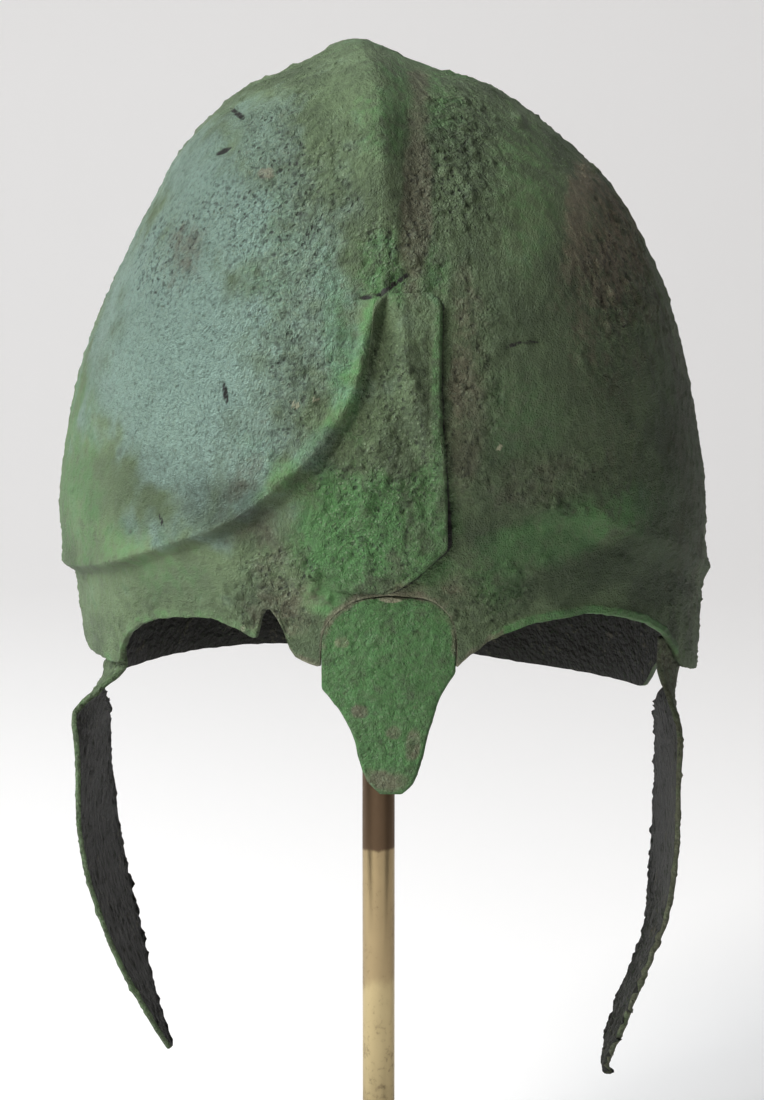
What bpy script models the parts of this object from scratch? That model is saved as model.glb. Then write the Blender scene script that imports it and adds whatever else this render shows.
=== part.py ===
"""A corroded bronze Chalcidian helmet on a plain rod stand.

Metres, +Z up, the face towards -Y. The origin is the middle of the base's underside.
Left and right are the viewer's, looking at the face.
"""
import math

import bmesh
import bpy
import numpy as np
from mathutils import Vector
from mathutils.bvhtree import BVHTree

# Stand
BASE_WIDTH = 0.170
BASE_HEIGHT = 0.030
BASE_EDGE = 0.003
ROD_DIAMETER = 0.010
ROD_SOCKET = 0.012
REST_DIAMETER = 0.034
REST_THICKNESS = 0.007
REST_DOME = 0.003

# Skull
BROW_HEIGHT = 0.240
HELMET_SHIFT = 0.0015
SKULL_WIDTH = 0.1945
SKULL_RISE = 0.1463
FRONT_REACH = 0.1085
BACK_REACH = 0.1200
NECK_DROP = 0.0550
WIDEST_PLACE = 0.005
WALL = 0.0015
PLAN_SQUARENESS = 2.12

# Relief of the skull
BAND_STEP = 0.0024
BAND_FALL = 0.0040
BEAD_HEIGHT = 0.0012
BEAD_HALF_WIDTH = 0.0028
KEEL_HEIGHT = 0.0070
KEEL_HALF_WIDTH = 0.0260
KEEL_RIGHT_SHARE = 0.32
KEEL_LEFT_SHARE = 0.80
KEEL_SHARPNESS = 2.1
KEEL_LEAN = 0.0095
KEEL_FADE = 0.0300

# Nasal, forehead plate and cheek pieces
NASAL_LENGTH = 0.0537
NASAL_HALF_WIDTH = 0.0189
NASAL_RISE = 0.0047
NASAL_SHIFT = 0.0012
NASAL_THICKNESS = 0.0020
SEAT_CORNER_DROP = 0.0150
SEAT_ROUNDNESS = 1.7
PLATE_HEIGHT = 0.0800
PLATE_HALF_WIDTH = 0.0190
PLATE_FOOT_GAP = 0.0011
PLATE_THICKNESS = 0.0015
LEFT_CHEEK_LENGTH = 0.1215
RIGHT_CHEEK_LENGTH = 0.1285
CHEEK_DEPTH = 0.0980
CHEEK_SPREAD = 0.0250
CHEEK_THICKNESS = 0.0015
CHEEK_TOP = 0.0160
CHEEK_PLACE = -0.0380

SEAM = 0.0004
LAP_GAP = 0.0004
PLATE_GAP = 0.0004
PLATE_REACH = 0.0024

# Height (share of the rise, or of the neck drop below the brow), then shares of
# the half width, the front reach and the back reach, and how far the section's
# middle lies to the right as a share of the half width.
SECTIONS = (
    # height, width, front, back, lean
    (-1.120, 0.982, 1.050, 0.955, 0.026),
    (-0.860, 0.980, 1.026, 0.918, 0.026),
    (-0.550, 0.978, 1.006, 0.885, 0.026),
    (-0.240, 0.990, 0.998, 0.915, 0.021),
    (0.012, 0.992, 0.996, 0.952, 0.004),
    (0.100, 1.000, 1.000, 0.985, -0.003),
    (0.205, 0.986, 0.996, 1.000, -0.003),
    (0.334, 0.950, 0.980, 0.998, -0.002),
    (0.460, 0.898, 0.948, 0.972, 0.006),
    (0.579, 0.828, 0.896, 0.916, 0.013),
    (0.738, 0.700, 0.786, 0.788, 0.010),
    (0.820, 0.604, 0.700, 0.682, -0.014),
    (0.902, 0.472, 0.584, 0.546, -0.034),
    (0.966, 0.310, 0.400, 0.356, -0.046),
    (1.000, 0.000, 0.000, 0.000, -0.075),
)

# Degrees round from the front, then the brow line's height on the left and on the
# right as shares of the rise: it peaks over the forehead and falls to the ears.
BROW_LINE = (
    # around, left, right
    (0.0, 0.595, 0.595),
    (2.2, 0.558, 0.519),
    (4.5, 0.419, 0.383),
    (8.0, 0.339, 0.294),
    (12.0, 0.284, 0.252),
    (24.0, 0.171, 0.205),
    (40.0, 0.099, 0.150),
    (55.0, 0.047, 0.090),
    (75.0, 0.007, 0.012),
    (90.0, -0.010, -0.034),
    (130.0, -0.018, -0.030),
    (180.0, -0.020, -0.020),
)

# The lower edge beyond the nasal's seat: where a column of the wall starts, where it
# stands higher up, both in degrees round from the front, and its height as a share
# of the neck drop. Eye arch, temple, ear opening and neck guard follow each other.
RIM_LEFT = (
    # upper, edge, height
    (16.0, 9.6, -0.273),
    (18.3, 14.2, -0.215),
    (19.2, 15.4, -0.085),
    (20.4, 17.4, 0.012),
    (21.8, 19.2, -0.030),
    (23.4, 21.2, -0.143),
    (26.2, 24.5, -0.110),
    (31.0, 30.0, -0.071),
    (36.0, 35.5, -0.080),
    (43.0, 43.0, -0.122),
    (50.0, 50.2, -0.213),
    (55.0, 54.4, -0.320),
    (59.0, 56.4, -0.418),
    (65.0, 63.0, -0.432),
    (73.0, 73.0, -0.446),
    (79.0, 79.5, -0.440),
    (84.0, 84.0, -0.300),
    (92.0, 92.0, -0.215),
    (99.0, 98.0, -0.260),
    (104.0, 102.0, -0.420),
    (108.0, 104.5, -0.640),
    (112.0, 108.0, -0.835),
    (120.0, 118.0, -0.855),
    (133.0, 132.0, -0.864),
    (150.0, 150.0, -0.885),
    (180.0, 180.0, -0.945),
)
RIM_RIGHT = (
    # upper, edge, height
    (16.0, 10.8, -0.273),
    (18.0, 13.2, -0.211),
    (22.0, 18.3, -0.120),
    (27.5, 25.5, -0.067),
    (34.0, 34.0, -0.055),
    (43.0, 43.9, -0.107),
    (52.0, 53.0, -0.213),
    (59.0, 59.9, -0.355),
    (65.0, 65.5, -0.485),
    (71.0, 72.0, -0.540),
    (80.0, 82.0, -0.600),
    (85.0, 87.0, -0.600),
    (88.5, 89.5, -0.440),
    (93.0, 93.5, -0.270),
    (98.0, 98.5, -0.215),
    (104.0, 103.0, -0.300),
    (109.0, 106.0, -0.500),
    (113.0, 109.0, -0.720),
    (117.0, 113.5, -0.850),
    (121.0, 118.0, -1.000),
    (132.0, 131.0, -1.008),
    (146.0, 146.0, -1.015),
    (165.0, 165.0, -0.980),
    (180.0, 180.0, -0.945),
)

# Drop from the nasal's top as a share of its length, and how far it reaches to the
# left and right as shares of its half width.
NASAL_OUTLINE = (
    # drop, left, right
    (0.000, 0.040, 0.050),
    (0.013, 0.330, 0.480),
    (0.050, 0.590, 0.740),
    (0.160, 0.900, 0.960),
    (0.240, 0.970, 1.000),
    (0.370, 0.985, 0.985),
    (0.462, 0.975, 0.840),
    (0.525, 0.840, 0.735),
    (0.585, 0.695, 0.675),
    (0.650, 0.580, 0.615),
    (0.700, 0.500, 0.565),
    (0.823, 0.400, 0.475),
    (0.887, 0.340, 0.410),
    (0.950, 0.240, 0.330),
    (1.000, 0.080, 0.170),
)

# Height above the plate's foot as a share of its height, then its left and right
# edges as shares of its half width, measured from the middle of the face.
PLATE_OUTLINE = (
    # height, left, right
    (0.000, -0.700, 0.060),
    (0.030, -0.940, 0.300),
    (0.090, -1.080, 0.600),
    (0.170, -1.130, 0.915),
    (0.300, -1.060, 0.880),
    (0.390, -0.930, 0.850),
    (0.480, -0.700, 0.820),
    (0.580, -0.480, 0.790),
    (0.720, -0.270, 0.770),
    (0.880, -0.165, 0.780),
    (0.965, -0.120, 0.780),
    (1.000, -0.020, 0.660),
)

# Drop as a share of the cheek piece's length, its front and back edges as shares of
# its depth from the neck's middle, how far those edges stand outside the temple's
# inner face as shares of the spread, how much the piece follows the temple's curve,
# and how much lower its back edge lies.
CHEEK_LEFT = (
    # drop, front, back, front_spread, back_spread, hug, sag
    (0.000, -0.160, -0.030, 0.000, 0.000, 1.00, 0.000),
    (0.062, -0.160, -0.030, 0.000, 0.000, 1.00, 0.000),
    (0.115, -0.165, -0.025, 0.150, 0.020, 0.60, 0.000),
    (0.170, -0.230, 0.110, 0.300, 0.010, 0.10, 0.010),
    (0.225, -0.290, 0.330, 0.215, 0.065, 0.00, 0.020),
    (0.300, -0.325, 0.490, 0.190, 0.125, 0.00, 0.022),
    (0.400, -0.340, 0.550, 0.190, 0.145, 0.00, 0.020),
    (0.520, -0.340, 0.530, 0.120, 0.085, 0.00, 0.020),
    (0.640, -0.325, 0.440, -0.030, -0.040, 0.00, 0.020),
    (0.760, -0.295, 0.290, -0.225, -0.245, 0.00, 0.020),
    (0.880, -0.260, 0.070, -0.490, -0.475, 0.00, 0.012),
    (0.960, -0.235, -0.110, -0.680, -0.680, 0.00, 0.004),
    (1.000, -0.220, -0.190, -0.785, -0.790, 0.00, 0.000),
)
CHEEK_RIGHT = (
    # drop, front, back, front_spread, back_spread, hug, sag
    (0.000, -0.160, 0.030, 0.000, 0.000, 1.00, 0.000),
    (0.062, -0.160, 0.030, 0.000, 0.000, 1.00, 0.000),
    (0.125, -0.175, 0.045, 0.040, -0.060, 0.70, 0.000),
    (0.180, -0.240, 0.180, -0.020, -0.190, 0.15, 0.012),
    (0.230, -0.290, 0.330, -0.080, -0.140, 0.00, 0.020),
    (0.320, -0.325, 0.480, -0.100, -0.070, 0.00, 0.020),
    (0.430, -0.340, 0.530, -0.110, -0.050, 0.00, 0.020),
    (0.550, -0.335, 0.490, -0.165, -0.085, 0.00, 0.020),
    (0.660, -0.320, 0.370, -0.290, -0.165, 0.00, 0.016),
    (0.735, -0.305, 0.260, -0.430, -0.215, 0.00, 0.010),
    (0.790, -0.295, 0.190, -0.540, -0.340, 0.00, 0.010),
    (0.880, -0.270, 0.060, -0.680, -0.620, 0.00, 0.008),
    (0.960, -0.245, -0.100, -0.825, -0.815, 0.00, 0.002),
    (1.000, -0.225, -0.190, -0.875, -0.875, 0.00, 0.000),
)

# Each piece's colour, roughness and metallic value
FINISHES = {
    "skull": ((0.075, 0.120, 0.055), 0.75, 0.1),
    "nasal": ((0.065, 0.122, 0.045), 0.80, 0.1),
    "forehead_plate": ((0.070, 0.130, 0.050), 0.75, 0.1),
    "cheek_piece_left": ((0.033, 0.035, 0.032), 0.80, 0.1),
    "cheek_piece_right": ((0.056, 0.060, 0.038), 0.80, 0.1),
    "crown_rest": ((0.319, 0.227, 0.109), 0.35, 1.0),
    "rod": ((0.319, 0.227, 0.109), 0.35, 1.0),
    "base": ((0.020, 0.019, 0.018), 0.50, 0.0),
}

SECTION_TABLE = np.array(SECTIONS)
TOP_STATION = len(SECTIONS) - 1
SEAT_ANGLE = RIM_RIGHT[0][0]
ARCH_MIDDLE = 30.0
SEAT_STEPS = 6


def follow(table, at, column):
    """A smooth curve that passes through a table's rows without overshooting them."""
    rows = np.asarray(table, float)
    keys, values = rows[:, 0], rows[:, column]
    steps, slopes = np.diff(keys), np.diff(values) / np.diff(keys)
    tangents = np.zeros(len(keys))
    same_way = slopes[:-1] * slopes[1:] > 0
    near, far = 2 * steps[1:] + steps[:-1], steps[1:] + 2 * steps[:-1]
    with np.errstate(divide="ignore", invalid="ignore"):
        mean = (near + far) / (near / slopes[:-1] + far / slopes[1:])
    tangents[1:-1] = np.where(same_way, mean, 0.0)
    tangents[0], tangents[-1] = slopes[0], slopes[-1]
    at = np.clip(np.asarray(at, float), keys[0], keys[-1])
    i = np.clip(np.searchsorted(keys, at, side="right") - 1, 0, len(steps) - 1)
    t = (at - keys[i]) / steps[i]
    return (
        (1 + 2 * t) * (1 - t) ** 2 * values[i]
        + t * (1 - t) ** 2 * steps[i] * tangents[i]
        + t * t * (3 - 2 * t) * values[i + 1]
        + t * t * (t - 1) * steps[i] * tangents[i + 1]
    )


def ease(low, high, value):
    """0 below low, 1 above high, and a smooth step between."""
    t = np.clip((value - low) / (high - low), 0, 1)
    return t * t * (3 - 2 * t)


def by_side(angle, table, right_table, column):
    """Reads the left table at negative angles and the right one at positive angles."""
    around = np.abs(angle)
    return np.where(
        angle < 0, follow(table, around, column), follow(right_table, around, column)
    )


def section(station):
    """Height, half width, front and back reach and middle at a station."""
    share = SECTION_TABLE[:, 0]
    height = share * np.where(share < 0, NECK_DROP, SKULL_RISE)
    half = SKULL_WIDTH / 2
    sizes = np.stack([height, *(SECTION_TABLE[:, 1:].T)], axis=1)
    sizes[:, 1:] *= (half, FRONT_REACH, BACK_REACH, half)
    over_top = sizes[-2] * (1, -1, -1, -1, 1)
    under = 2 * sizes[0] - sizes[1]
    rows = np.vstack([under, sizes, over_top])
    i = np.clip(np.floor(station).astype(int), 0, TOP_STATION - 1)
    t = (station - i)[..., None]
    before, here, there, after = rows[i], rows[i + 1], rows[i + 2], rows[i + 3]
    return 0.5 * (
        2 * here
        + t * (there - before)
        + t**2 * (2 * before - 5 * here + 4 * there - after)
        + t**3 * (3 * here - before - 3 * there + after)
    )


def station_at(height):
    """The station at which the skull has this height."""
    stations = np.linspace(0, TOP_STATION, 1200)
    return np.interp(height, section(stations)[:, 0], stations)


def smooth_skull(angle, station):
    """A point of the skull without its relief. The angle is in degrees from the front."""
    height, half_width, front, back, middle = np.moveaxis(section(station), -1, 0)
    turn = np.radians(angle)
    power = 2 / PLAN_SQUARENESS
    across = np.sign(np.sin(turn)) * np.abs(np.sin(turn)) ** power
    along = np.sign(np.cos(turn)) * np.abs(np.cos(turn)) ** power
    reach = np.where(along > 0, front, back)
    x = middle + half_width * across
    return np.stack([x, WIDEST_PLACE - reach * along, height + 0 * x], axis=-1)


def outward(angle, station):
    """The unit normal of the smooth skull."""
    turn, rise = 0.4, 0.02
    station = np.minimum(station, TOP_STATION - 0.03)
    around = smooth_skull(angle + turn, station) - smooth_skull(angle - turn, station)
    up = smooth_skull(angle, station + rise) - smooth_skull(angle, station - rise)
    normal = np.cross(around, up)
    return normal / np.linalg.norm(normal, axis=-1, keepdims=True)


def brow_height(angle):
    """The height of the brow line, where the band steps in under the skull."""
    share = by_side(angle, BROW_LINE, np.array(BROW_LINE)[:, [0, 2]], 1)
    return share * SKULL_RISE


def above_brow(angle, height):
    """Distance from the brow line, measured square to it, negative on the band."""
    step = 0.5
    climb = (brow_height(angle + step) - brow_height(angle - step)) / (
        math.radians(2 * step) * SKULL_WIDTH / 2
    )
    return (height - brow_height(angle)) / np.sqrt(1 + climb**2)


def keel(point):
    """How far the keel over the crown stands out of the smooth skull."""
    x, y, z = np.moveaxis(point, -1, 0)
    back_share = np.clip((y - WIDEST_PLACE) / BACK_REACH, -1, 1)
    front_share = np.clip((WIDEST_PLACE - y) / FRONT_REACH, 0, 1)
    straightening = (1 - front_share) ** 1.2 * (1 - 0.6 * ease(0, 1, back_share))
    crest = NASAL_SHIFT - KEEL_LEAN * straightening
    right = 1 - (1 - KEEL_RIGHT_SHARE) * ease(0.1, 0.7, front_share)
    left = 1 - (1 - KEEL_LEFT_SHARE) * ease(0.35, 0.8, front_share)
    half = KEEL_HALF_WIDTH * np.where(x > crest, right, left)
    nearness = np.clip(1 - np.abs(x - crest) / half, 0, 1)
    foot = np.where(y < WIDEST_PLACE, BROW_LINE[0][1] * SKULL_RISE, KEEL_FADE)
    lasting = ease(0, KEEL_FADE, z - foot)
    return KEEL_HEIGHT * (1 - 0.35 * front_share) * nearness**KEEL_SHARPNESS * lasting


def relief(angle, station):
    """How far the skull's face lies outside the smooth skull: keel, bead and band."""
    point = smooth_skull(angle, station)
    above = above_brow(angle, point[..., 2])
    band = -BAND_STEP * (1 - ease(-BAND_FALL, 0, above))
    on_left = 1 - 0.7 * ease(0, 12, angle) * (1 - ease(70, 95, angle))
    bead = BEAD_HEIGHT * on_left * np.exp(-((above / BEAD_HALF_WIDTH) ** 2))
    return band + bead + keel(point)


def skull_face(angle, station, lift=0.0):
    """A point on the skull's outer face, or above it by lift."""
    point = smooth_skull(angle, station)
    return point + outward(angle, station) * (relief(angle, station) + lift)[..., None]


def angle_across(x, station):
    """The angle at which the front of the skull is this far from the middle plane."""
    sizes = section(station)
    offset = x - sizes[..., 4]
    share = np.clip(np.abs(offset) / sizes[..., 1], 0, 1) ** (PLAN_SQUARENESS / 2)
    return np.sign(offset) * np.degrees(np.arcsin(share))


def on_front(x, height, lift=0.0):
    """A point of the skull's front face at x and about this height, or above it."""
    station = station_at(height)
    return skull_face(angle_across(x, station), station, lift)


def nasal_height(share):
    """Height on the nasal's seat: share 0 is its top and 1 the eye arch's corner."""
    seat_depth = NASAL_RISE + SEAT_CORNER_DROP
    return NASAL_RISE - seat_depth * np.abs(share) ** SEAT_ROUNDNESS


def nasal_edge(height, side, clearance=0.0):
    """The nasal's edge on one side (-1 left, 1 right), with its seat's clearance."""
    drop = np.clip((NASAL_RISE - height) / NASAL_LENGTH, 0, 1)
    column = 1 if side < 0 else 2
    reach = follow(NASAL_OUTLINE, drop, column) * NASAL_HALF_WIDTH
    return NASAL_SHIFT + side * (reach + clearance)


def rim(angle):
    """Where the wall starts below an upper angle: its own angle and its height."""
    side = np.where(angle < 0, -1, 1)
    share = np.clip(np.abs(angle) / SEAT_ANGLE, 0, 1)
    seat_z = nasal_height(share)
    edges = [nasal_edge(seat_z, way, SEAM * share) for way in (-1, 1)]
    seat_x = np.where(share > 0, np.where(side < 0, *edges), NASAL_SHIFT)
    seat_edge = angle_across(seat_x, station_at(seat_z))
    first = np.where(side < 0, RIM_LEFT[0][1], RIM_RIGHT[0][1])
    first_height = np.where(side < 0, RIM_LEFT[0][2], RIM_RIGHT[0][2]) * NECK_DROP
    meeting = 1 - ease(SEAT_ANGLE, ARCH_MIDDLE, np.abs(angle))
    edge = by_side(angle, RIM_LEFT, RIM_RIGHT, 1) + (np.abs(seat_edge) - first) * meeting
    height = by_side(angle, RIM_LEFT, RIM_RIGHT, 2) * NECK_DROP
    height = height + (seat_z - first_height) * meeting
    seated = share < 1
    edge_angle = np.where(seated, seat_edge, side * edge)
    return edge_angle, np.where(seated, seat_z + SEAM * (1 - share), height)


def upper_angles():
    """The columns of the skull's wall, closer together over the face."""
    face = np.linspace(-SEAT_ANGLE, SEAT_ANGLE, 2 * SEAT_STEPS + 1)
    arches = np.concatenate([np.arange(SEAT_ANGLE + 2, 31, 1.8), np.arange(34, 88, 4.5)])
    ears = np.concatenate([np.arange(88, 122, 3.4), np.arange(126, 180, 6.0)])
    side = np.concatenate([arches, ears])
    return np.concatenate([-side[::-1], face, side, [180.0]])


def skull_grid(angles, band_rows, dome_rows):
    """Rows of the skull's face from its lower edge up to just below the apex."""
    edge_angle, edge_height = rim(angles)
    line = brow_height(angles)
    close = np.array([-BAND_FALL, 0.0, BEAD_HALF_WIDTH * 1.4])
    grid = []
    for share in np.linspace(0, 1, band_rows + 1)[:-1]:
        angle = edge_angle + (angles - edge_angle) * share
        height = edge_height + (line + close[0] - edge_height) * share
        grid.append(skull_face(angle, station_at(height)))
    for offset in close:
        grid.append(skull_face(angles, station_at(line + offset)))
    start = station_at(line + close[-1])
    for share in np.linspace(0, 1, dome_rows + 2)[1:-1]:
        grid.append(skull_face(angles, start + (TOP_STATION - start) * share))
    return np.array(grid)


def finish(name, mesh, holder=None, smooth=True):
    """Puts a mesh in the scene with its own material, on its holder if it has one."""
    colour, roughness, metallic = FINISHES[name]
    material = bpy.data.materials.new(name)
    material.use_nodes = True
    shader = material.node_tree.nodes["Principled BSDF"]
    shader.inputs["Base Color"].default_value = (*colour, 1)
    shader.inputs["Roughness"].default_value = roughness
    shader.inputs["Metallic"].default_value = metallic
    mesh.materials.append(material)
    if smooth:
        mesh.shade_smooth()
        mesh.set_sharp_from_angle(angle=math.radians(40))
    part = bpy.data.objects.new(name, mesh)
    part.parent = holder
    bpy.context.scene.collection.objects.link(part)
    return part


def sheet(name, grid, thickness, holder, around=False, tip=None):
    """A wall of metal: the grid is its outer face, and it is thickened inwards."""
    rows, columns, _ = grid.shape
    points = [tuple(p) for p in grid.reshape(-1, 3)]
    faces = []
    for r in range(rows - 1):
        for c in range(columns if around else columns - 1):
            right = (c + 1) % columns
            faces.append(
                (
                    r * columns + c,
                    r * columns + right,
                    (r + 1) * columns + right,
                    (r + 1) * columns + c,
                )
            )
    if tip is not None:
        last = (rows - 1) * columns
        points.append(tuple(tip))
        faces += [
            (last + c, last + (c + 1) % columns, len(points) - 1) for c in range(columns)
        ]
    mesh = bpy.data.meshes.new(name)
    mesh.from_pydata(points, [], faces)
    part = finish(name, mesh, holder)
    wall = part.modifiers.new("wall", "SOLIDIFY")
    wall.thickness = thickness
    wall.offset = -1
    return part


def skull(helmet):
    """The bowl, brow band, temples and neck guard, beaten from one sheet."""
    angles = upper_angles()
    grid = skull_grid(angles, band_rows=5, dome_rows=12)
    apex = skull_face(np.array([0.0]), np.array([TOP_STATION - 1e-4]))[0]
    return sheet("skull", grid, WALL, helmet, around=True, tip=apex)


def nasal(helmet):
    """The nose guard, set edge to edge into the brow."""
    seat = nasal_height(np.linspace(0, 1, SEAT_STEPS + 1))
    tip = NASAL_RISE - NASAL_LENGTH
    heights = np.concatenate([seat, np.linspace(seat[-1], tip, 10)[1:]])[::-1]
    grid = []
    for height in heights:
        across = np.linspace(nasal_edge(height, -1), nasal_edge(height, 1), 9)
        grid.append(on_front(across, np.full_like(across, height)))
    return sheet("nasal", np.array(grid), NASAL_THICKNESS, helmet)


def solid_of(part):
    """A part's finished form, in its own coordinates, for measuring against."""
    bpy.context.view_layer.update()
    return BVHTree.FromObject(part, bpy.context.evaluated_depsgraph_get())


def stand_off(form, x, height):
    """The outer face of a sheet that clears the form's highest point around it."""
    point = on_front(x, height)
    normal = outward(angle_across(x, station_at(height)), station_at(height))
    above = SKULL_WIDTH / 10
    highest = -math.inf
    for dx in (-PLATE_REACH, 0, PLATE_REACH):
        for dz in (-PLATE_REACH, 0, PLATE_REACH):
            eye = Vector(point + normal * above) + Vector((dx, 0, dz))
            highest = max(highest, above - form.ray_cast(eye, Vector(-normal))[3])
    return point + normal * (highest + PLATE_GAP + PLATE_THICKNESS)


def forehead_plate(helmet, crown):
    """The torn sheet that lies over the forehead and rides over its right side."""
    form = solid_of(crown)
    grid = []
    for share in np.linspace(0, 1, 17):
        left = follow(PLATE_OUTLINE, share, 1) * PLATE_HALF_WIDTH
        right = follow(PLATE_OUTLINE, share, 2) * PLATE_HALF_WIDTH
        height = NASAL_RISE + PLATE_FOOT_GAP + share * PLATE_HEIGHT
        across = np.linspace(left, right, 11)
        grid.append([stand_off(form, x, height) for x in across])
    return sheet("forehead_plate", np.array(grid), PLATE_THICKNESS, helmet)


def temple_inside(y, height, side):
    """The inner face of the temple at y: how far it stands from the middle plane."""
    angles = np.linspace(20, 89, 140)
    station = station_at(np.full_like(angles, height))
    face = skull_face(side * angles, station, -(WALL + LAP_GAP))
    return np.interp(y, face[:, 1], np.abs(face[:, 0]))


def cheek_piece(name, table, length, side, helmet):
    """A cheek piece: its neck laps inside the temple, and its blade hangs below."""
    across = np.linspace(0, 1, 9)
    straight = temple_inside(CHEEK_PLACE, -CHEEK_TOP, side)
    grid = []
    for drop in np.concatenate([np.linspace(0, 0.3, 9), np.linspace(0.36, 1, 12)]):
        row = [follow(table, drop, column) for column in range(1, 7)]
        front, back, front_spread, back_spread, hug, sag = row
        y = CHEEK_PLACE + (front + (back - front) * across) * CHEEK_DEPTH
        z = -CHEEK_TOP - (drop + sag * across) * length
        spread = front_spread + (back_spread - front_spread) * across
        following = temple_inside(y, -CHEEK_TOP - drop * length, side)
        x = side * (hug * following + (1 - hug) * straight + spread * CHEEK_SPREAD)
        grid.append(np.stack([x, y, z], axis=-1))
    grid = np.array(grid)[::-1]
    if side < 0:
        grid = grid[:, ::-1]
    return sheet(name, grid, CHEEK_THICKNESS, helmet)


def turned_mesh(name, radius, low, high, dome=0.0):
    """A round form about the stand's axis, with a domed top where one is asked for."""
    form = bmesh.new()
    profile = [(0, low), (radius, low), (radius, high)]
    if dome:
        for share in (0.75, 0.5, 0.25):
            profile.append((radius * share, high + dome * (1 - share**2)))
    profile.append((0, high + dome))
    ring = [form.verts.new((r, 0, z)) for r, z in profile]
    edges = [form.edges.new(pair) for pair in zip(ring, ring[1:])]
    bmesh.ops.spin(
        form,
        geom=ring + edges,
        cent=(0, 0, 0),
        axis=(0, 0, 1),
        angle=math.tau,
        steps=32,
    )
    bmesh.ops.remove_doubles(form, verts=form.verts, dist=1e-6)
    bmesh.ops.recalc_face_normals(form, faces=form.faces)
    mesh = bpy.data.meshes.new(name)
    form.to_mesh(mesh)
    form.free()
    return mesh


def room_above(crown):
    """The height at which the domed rest would touch the crown from inside."""
    form = solid_of(crown)
    least = math.inf
    for share in (0, 0.25, 0.5, 0.75, 1):
        for turn in range(24):
            angle = math.tau * turn / 24
            radius = REST_DIAMETER / 2 * share
            x, y = radius * math.cos(angle), radius * math.sin(angle)
            hit = form.ray_cast(Vector((x - HELMET_SHIFT, y, 0)), Vector((0, 0, 1)))[0]
            least = min(least, hit.z - REST_DOME * (1 - share**2))
    return least + BROW_HEIGHT


def base():
    """A plain block with eased edges and a blind hole for the rod."""
    form = bmesh.new()
    bmesh.ops.create_cube(form, size=1)
    bmesh.ops.scale(form, verts=form.verts, vec=(BASE_WIDTH, BASE_WIDTH, BASE_HEIGHT))
    bmesh.ops.translate(form, verts=form.verts, vec=(0, 0, BASE_HEIGHT / 2))
    bmesh.ops.bevel(
        form, geom=form.edges, offset=BASE_EDGE, segments=2, profile=0.5, affect="EDGES"
    )
    mesh = bpy.data.meshes.new("base")
    form.to_mesh(mesh)
    form.free()
    part = finish("base", mesh, smooth=False)
    foot, top = BASE_HEIGHT - ROD_SOCKET, BASE_HEIGHT + ROD_SOCKET
    hole_form = turned_mesh("rod_hole", ROD_DIAMETER / 2 + LAP_GAP, foot, top)
    cutter = bpy.data.objects.new("rod_hole_cutter", hole_form)
    cutter.hide_render = True
    cutter.display_type = "WIRE"
    bpy.context.scene.collection.objects.link(cutter)
    hole = part.modifiers.new("rod_hole", "BOOLEAN")
    hole.operation = "DIFFERENCE"
    hole.solver = "EXACT"
    hole.object = cutter
    return part


def stand(crown):
    """The rod in its base, with the domed rest that carries the crown from inside."""
    base()
    rest_top = room_above(crown) - SEAM
    rest_foot = rest_top - REST_THICKNESS
    rest = turned_mesh("crown_rest", REST_DIAMETER / 2, rest_foot, rest_top, REST_DOME)
    finish("crown_rest", rest)
    rod_foot = BASE_HEIGHT - ROD_SOCKET + LAP_GAP
    finish("rod", turned_mesh("rod", ROD_DIAMETER / 2, rod_foot, rest_foot - SEAM))


def main():
    for old in list(bpy.data.objects):
        bpy.data.objects.remove(old)
    helmet = bpy.data.objects.new("helmet", None)
    helmet.location = (HELMET_SHIFT, 0, BROW_HEIGHT)
    bpy.context.scene.collection.objects.link(helmet)
    crown = skull(helmet)
    nasal(helmet)
    forehead_plate(helmet, crown)
    cheek_piece("cheek_piece_left", CHEEK_LEFT, LEFT_CHEEK_LENGTH, -1, helmet)
    cheek_piece("cheek_piece_right", CHEEK_RIGHT, RIGHT_CHEEK_LENGTH, 1, helmet)
    stand(crown)


main()
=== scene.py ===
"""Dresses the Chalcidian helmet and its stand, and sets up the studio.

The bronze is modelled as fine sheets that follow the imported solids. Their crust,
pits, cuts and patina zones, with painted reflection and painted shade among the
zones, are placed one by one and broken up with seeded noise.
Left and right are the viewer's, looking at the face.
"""
import math

import bpy
import numpy as np
from bpy.props import FloatProperty, FloatVectorProperty, PointerProperty
from mathutils import Euler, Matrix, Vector


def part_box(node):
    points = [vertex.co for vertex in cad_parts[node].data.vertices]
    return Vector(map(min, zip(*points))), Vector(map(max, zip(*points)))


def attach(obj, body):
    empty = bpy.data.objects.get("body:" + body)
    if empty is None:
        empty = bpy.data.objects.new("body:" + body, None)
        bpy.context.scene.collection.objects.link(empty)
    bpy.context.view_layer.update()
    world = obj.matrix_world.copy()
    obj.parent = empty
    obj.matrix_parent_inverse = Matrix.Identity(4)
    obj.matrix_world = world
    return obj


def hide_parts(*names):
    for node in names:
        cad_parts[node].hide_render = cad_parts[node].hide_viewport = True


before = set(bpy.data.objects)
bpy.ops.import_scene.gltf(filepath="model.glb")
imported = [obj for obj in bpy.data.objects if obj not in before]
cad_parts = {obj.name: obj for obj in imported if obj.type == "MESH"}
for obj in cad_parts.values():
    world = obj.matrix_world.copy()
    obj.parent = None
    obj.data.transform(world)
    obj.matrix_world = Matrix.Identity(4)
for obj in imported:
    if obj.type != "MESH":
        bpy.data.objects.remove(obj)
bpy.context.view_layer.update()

bl_info = {
    "name": "Chalcidian helmet",
    "version": (1, 0, 0),
    "blender": (4, 5, 0),
    "location": "3D View > Sidebar > Helmet",
    "description": "A corroded bronze helmet on a rod stand, and its studio",
    "category": "Add Mesh",
}

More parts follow.
